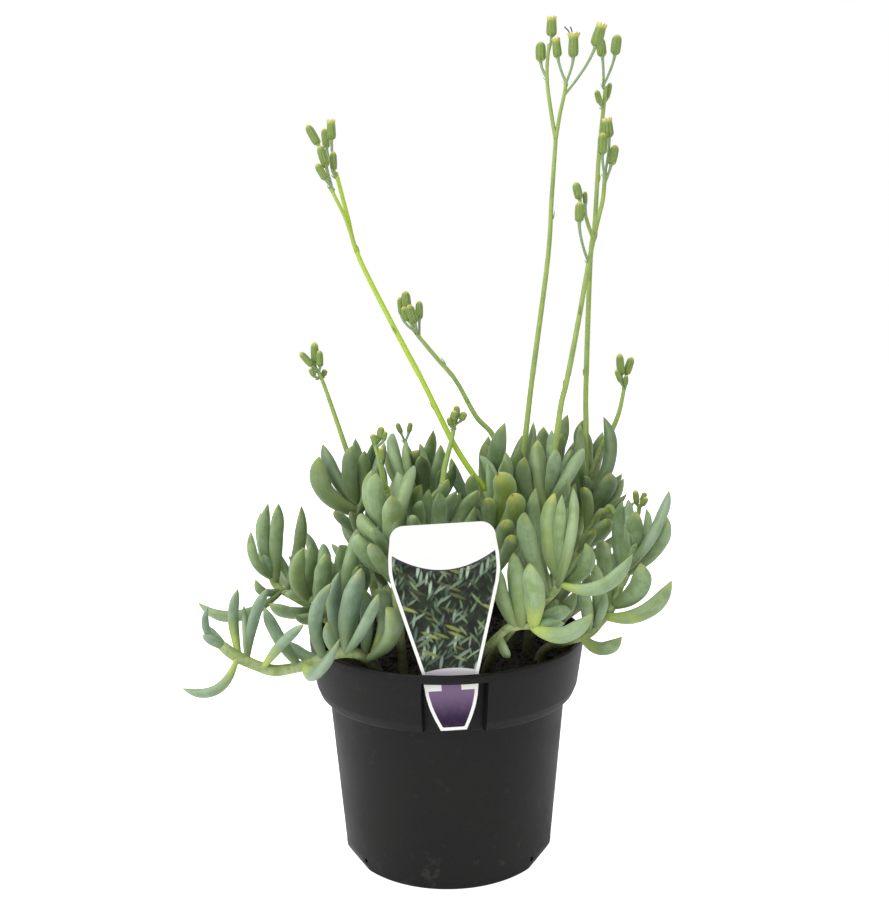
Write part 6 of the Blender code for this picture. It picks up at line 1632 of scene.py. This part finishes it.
def make_leafy_stem(name, plant, leaves, draw):
    """One piece: the stem's tube, swollen a little in waves along its length, and all its leaves."""
    foot, end = plant.get("radius", (STEM_FOOT_RADIUS, STEM_TIP_RADIUS))
    line = stem_line(name)
    radii = np.linspace(foot, end, len(line))
    radii = radii * (1 + 0.045 * np.sin(np.linspace(0, 34, len(line)) + draw.uniform(0, 6)))
    line, radii = domed(line, radii)
    none = dict.fromkeys(LEAF_VALUES, 0 * radii)
    tube = tube_skin(line, radii, STEM_SIDES, along=0 * radii + 0.5, **none)
    shell = joined([tube, leaf_skins(leaves, draw)])
    piece = add_piece("chalk_stick_" + name, shell, STEM_FINISH, "leafy_stem_" + name, "leafy_stem")
    piece.data.materials.append(LEAF_FINISH)
    slots = np.ones(len(shell["counts"]), np.int32)
    slots[:len(tube["counts"])] = 0
    piece.data.polygons.foreach_set("material_index", slots)
    return piece


leaf_draw = np.random.default_rng(LEAF_SEED + 1)
stem_faces = 0
for stem, (name, plant) in enumerate(LEAFY_STEMS.items()):
    own = [leaf for leaf in all_leaves if leaf["stem"] == stem]
    stem_faces += len(make_leafy_stem(name, plant, own, leaf_draw).data.polygons)
print("leafy stem faces:", stem_faces)

# %% [markdown]
# ## Flower stalks
#
# The stalks are thin, faintly ribbed rods, yellow-green, with small scale leaves at their joints. At the
# top they part into twigs, and each twig ends in a bud: a green barrel of narrow bracts that stand side
# by side, with small bracts under its base and cream-yellow teeth round its mouth. Some buds are still
# closed to a dome. A bud is a grid like a leaf, whose radius swells once for each bract and whose top
# ring rises and falls in teeth.

# %% Twigs, buds and scale leaves
TWIG_RADIUS = 0.62
BRACTS = 9
BRACT_STEPS = 4
BUD_SEED = 41
SCALE_SIDES = 8
ROD_SIDES = 18
TWIG_SIDES = 10
RIDGE_DEPTH = 0.05
BUD_VALUES = ("bud", "comb", "yellow", "mouth", "lime", "chalk")


def twig_line(start, foot, top):
    """A quadratic curve from inside the stalk, out along the twig and up to the bud's foot."""
    ahead = unit(top - foot)
    bend = foot - ahead * np.linalg.norm(foot - start) * 0.35
    sunk = start - unit(bend - start) * 0.8
    t = np.linspace(0, 1, 14)[:, None]
    return (1 - t) ** 2 * sunk + 2 * t * (1 - t) * bend + t**2 * foot


def bud_kind_skin(rings, ends, straight, **given):
    """A skin that carries every value which the stalk's finish reads; those not given are 0."""
    values = {**dict.fromkeys(BUD_VALUES, 0.0), **given}
    spread = {name: np.broadcast_to(value, rings.shape[:2])[None] for name, value in values.items()}
    return skin(rings[None], ends[None], straight=straight[None], **spread)


def bud_skin(foot, top, width, opened, draw):
    """A barrel with one swell for each bract: radius = profile * (1 + swell * |cos(bracts * turn / 2)|).

    An open bud ends in teeth, as high as the same cosine, round a sunk middle. A closed one ends in a dome.
    """
    ahead = unit(top - foot)
    length = np.linalg.norm(top - foot)
    wide = unit(np.cross(ahead, [0.2, 1.0, 0.1]))
    thick = np.cross(ahead, wide)
    turn = full_turn(BRACT_STEPS * BRACTS) + draw.uniform(0, 1)
    comb = np.abs(np.cos(BRACTS * turn / 2))
    closed = opened == 0
    if closed:
        t = np.array([-.03, .0, .03, .08, .16, .3, .45, .6, .72, .82, .90, .96, .99])
        profile = np.interp(t, [-.03, 0, .03, .08, .16, .45, .72, .82, .90, .96, 1.0],
                            [.24, .34, .62, .84, .96, 1.0, .95, .86, .68, .44, .1])
        teeth, mouth = 0 * t, 0 * t
    else:
        t = np.array([-.03, .0, .03, .08, .16, .3, .45, .6, .72, .82, .90, .93, .93, .88, .84])
        profile = np.array([.24, .34, .66, .88, .98, 1.0, .97, .93, .90, .90, .94, .92, .78, .55, .25])
        below = [0] * 9
        profile = profile * (1 + (opened == 2) * np.array([*below, .1, .26, .36, .36, .2, 0]))
        teeth = np.array([*below, .012, .045, .07, .05, .01, 0])
        mouth = np.array([*below, 0, .3, 1, 1, 1, 1])
    swell = 0.10 * np.clip(np.interp(t, [0, .08, .8, 1], [0, 1, 1, .4]), 0, 1)
    radius = (width / 2 * profile)[:, None] * (1 - swell[:, None] * (1 - comb))
    high = length * (t[:, None] + teeth[:, None] * (2 * comb - 1))
    out = np.cos(turn)[:, None] * wide + np.sin(turn)[:, None] * thick
    rings = foot + high[..., None] * ahead + radius[..., None] * out
    ends = np.stack([foot - 0.05 * length * ahead, foot + (1.0 if closed else .83) * length * ahead])
    straight = xyz(np.cos(turn) * width / 2, np.sin(turn) * width / 2, high)
    yellow = np.clip((t[:, None] - (0.80 if closed else 0.70)) / 0.18, 0, 1)
    return bud_kind_skin(rings, ends, straight, bud=1.0, comb=comb, yellow=yellow, mouth=mouth[:, None])


def scale_skin(foot, tip, width, side):
    """A thin pointed scale: a flat oval section that narrows to a point, bowed away from the stalk."""
    t = np.array([0.0, .15, .35, .6, .8, .93])
    turn = full_turn(SCALE_SIDES)
    middle = (foot + tip) / 2 + side * np.linalg.norm(tip - foot) * 0.14
    centre = ((1 - t) ** 2)[:, None] * foot + (2 * t * (1 - t))[:, None] * middle + (t**2)[:, None] * tip
    ahead = unit(np.gradient(centre, axis=0))
    wide = unit(np.cross(ahead, side))
    thick = np.cross(ahead, wide)
    half = width / 2 * np.sin(np.pi * (0.25 + 0.75 * t)) ** 0.8
    out = np.cos(turn)[:, None] * wide[:, None] + 0.4 * np.sin(turn)[:, None] * thick[:, None]
    rings = centre[:, None] + half[:, None, None] * out
    return bud_kind_skin(rings, np.stack([foot, tip]), rings, comb=1.0, yellow=t[:, None] * 0.7)


def rod_skin(line, radii, lime=0.0, chalk=0.0, ridges=0):
    """A rod with a round end and the values of a stalk; lime and chalk tint it."""
    line, radii = domed(np.asarray(line, float), np.asarray(radii, float))
    values = {**dict.fromkeys(BUD_VALUES, 0.0), "comb": 1.0, "lime": lime, "chalk": chalk}
    spread = {name: 0 * radii + value for name, value in values.items()}
    return tube_skin(line, radii, ROD_SIDES if ridges else TWIG_SIDES, ridges, RIDGE_DEPTH, **spread)


def floret_skins(foot, top, width):
    """Two dark curled threads that stand out of an open bud's mouth."""
    ahead, length = unit(top - foot), np.linalg.norm(top - foot)
    side = unit(np.cross(ahead, [0.0, 1.0, 0.0]))
    shells = []
    for reach in (0.22, 0.62):
        start = foot + ahead * length * 0.86 + side * width * reach * 0.5
        curl = [0 * ahead, ahead * 2.2 + side * reach * 1.5, ahead * 4.0 + side * reach * 4.5]
        line = start + np.array(curl)
        shell = rod_skin(smooth_path(line, 8), np.full(8, 0.28))
        shell["values"]["mouth"] = shell["values"]["mouth"] + 2.0
        shells.append(shell)
    return shells


# %% Stalk finish
def stalk_finish():
    """Yellow-green rods with pale lines painted as highlights; green barrels with painted shade in their
    grooves, cream teeth and brown threads.
    """
    finish, tree, shader = new_finish("stalk_and_bud", Specular_IOR_Level=0.4, Subsurface_Weight=0.05,
                                      Subsurface_Scale=0.002)
    laid = carried(tree, "straight", "Vector")
    slim = node(tree, "ShaderNodeMapping", {"Vector": laid, "Scale": (1.0, 1.0, 0.04)}).outputs[0]
    # Painted highlight: pale streaks along the rods and buds; the same mask varies the cream of the teeth.
    line = patches(tree, slim, 1.6, 0.5, 0.14)
    patch = patches(tree, laid, 0.06, 0.5, 0.2)
    mouth = carried(tree, "mouth")
    # Painted shade in the grooves between a bud's bracts.
    groove_shade = between(tree, carried(tree, "comb"), 0.0, 0.5, 0.85, 0.0)
    rod = layered(
        tree, blend(tree, patch, tone(158, 182, 92), tone(128, 156, 84)),
        (carried(tree, "lime"), tone(178, 208, 52)),
        (times(tree, carried(tree, "chalk"), 0.75), tone(128, 156, 128)),
        # painted highlight streaks
        (times(tree, line, 0.3), tone(190, 208, 124)))
    barrel = layered(
        tree, blend(tree, patch, tone(132, 156, 76), tone(108, 134, 66)),
        # painted highlight streaks
        (times(tree, line, 0.35), tone(160, 178, 104)),
        (groove_shade, tone(58, 78, 34)),
        (carried(tree, "yellow"), tone(214, 212, 108)))
    colour = layered(
        tree, rod,
        (carried(tree, "bud"), barrel),
        (between(tree, mouth, 0.0, 1.0), blend(tree, line, tone(232, 226, 150), tone(206, 196, 112))),
        (between(tree, mouth, 1.2, 1.8), tone(58, 36, 40)))
    dress(tree, shader, colour, between(tree, patch, 0.0, 1.0, 0.46, 0.56), slim, (3.0, 0.6), (0.25, 0.0003))
    return finish


STALK_FINISH = stalk_finish()
print("finish:", STALK_FINISH.name)


# %% Make the flower stalks
LIME_STALK = "tall_left"
ROD_RINGS = 90
FORK_RINGS = 24
RIDGES = 6
SCALE_RINGS = (24, 46, 68)
LONG_PATH = 6


def make_flower_stalk(name, stalk, draw):
    """One piece: the rod, its forks and twigs, a bud on each twig, and scales at the joints."""
    path = stalk_path(stalk)
    line = smooth_path(path, ROD_RINGS)
    lime = 1.0 if name == LIME_STALK else 0.0
    radii = np.linspace(STALK_FOOT_RADIUS, STALK_TIP_RADIUS, ROD_RINGS)
    shells = [rod_skin(line, radii, lime, ridges=RIDGES)]
    for fork in stalk.get("forks", ()):
        shells.append(rod_skin(smooth_path(fork, FORK_RINGS), np.linspace(0.95, 0.8, FORK_RINGS), 0.6 * lime))
    for start, foot, top, width, opened in stalk["buds"]:
        start, foot, top = (np.array(place, float) for place in (start, foot, top))
        twig = twig_line(start, foot, top)
        flare = TWIG_RADIUS * (1 + 0.5 * np.linspace(0, 1, len(twig)) ** 6)
        shells.append(rod_skin(twig, flare, 0.0, 1.0))
        shells.append(bud_skin(foot, top, width, opened, draw))
        ahead = unit(top - foot)
        for turn in draw.uniform(0, 2 * np.pi, 3):
            side = unit(np.cross(ahead, [math.cos(turn), math.sin(turn), 0.1]))
            low = foot + side * width * 0.16 - ahead * 0.3
            shells.append(scale_skin(low, low + side * width * 0.34 + ahead * width * 0.3, 0.9, side))
        way = unit(twig[1] - twig[0])
        side = unit(np.cross(way, [0.2, 1.0, 0.3]))
        shells.append(scale_skin(twig[0] - way * 0.5, twig[0] + way * 3.4 + side * 1.5, 1.1, side))
        if opened == 2:
            shells += floret_skins(foot, top, width)
    for number, place in enumerate(SCALE_RINGS if len(path) >= LONG_PATH else ()):
        ahead = unit(line[place + 1] - line[place])
        turn = number * math.radians(GOLDEN_ANGLE) + draw.uniform(0, 1)
        side = unit(np.cross(ahead, [math.cos(turn), math.sin(turn), 0.0]))
        start = line[place] + side * 0.9
        shells.append(scale_skin(start, start + ahead * 5.0 + side * 0.9, 1.3, side))
    node_name = "flower_stalk_" + name
    return add_piece("bud_stalk_" + name, joined(shells), STALK_FINISH, node_name, "flower_stalk")


bud_draw = np.random.default_rng(BUD_SEED)
stalk_faces = sum(len(make_flower_stalk(name, stalk, bud_draw).data.polygons)
                  for name, stalk in FLOWER_STALKS.items())
print("flower stalk faces:", stalk_faces)

# %% [markdown]
# ## Boxes
#
# A helper gives a box as plain lists of numbers. The fine surfaces must stay inside the
# CAD model's box.

# %% A box as plain numbers
def plain(box):
    """A box as plain lists of numbers."""
    return [[round(float(value), 6) for value in corner] for corner in box]
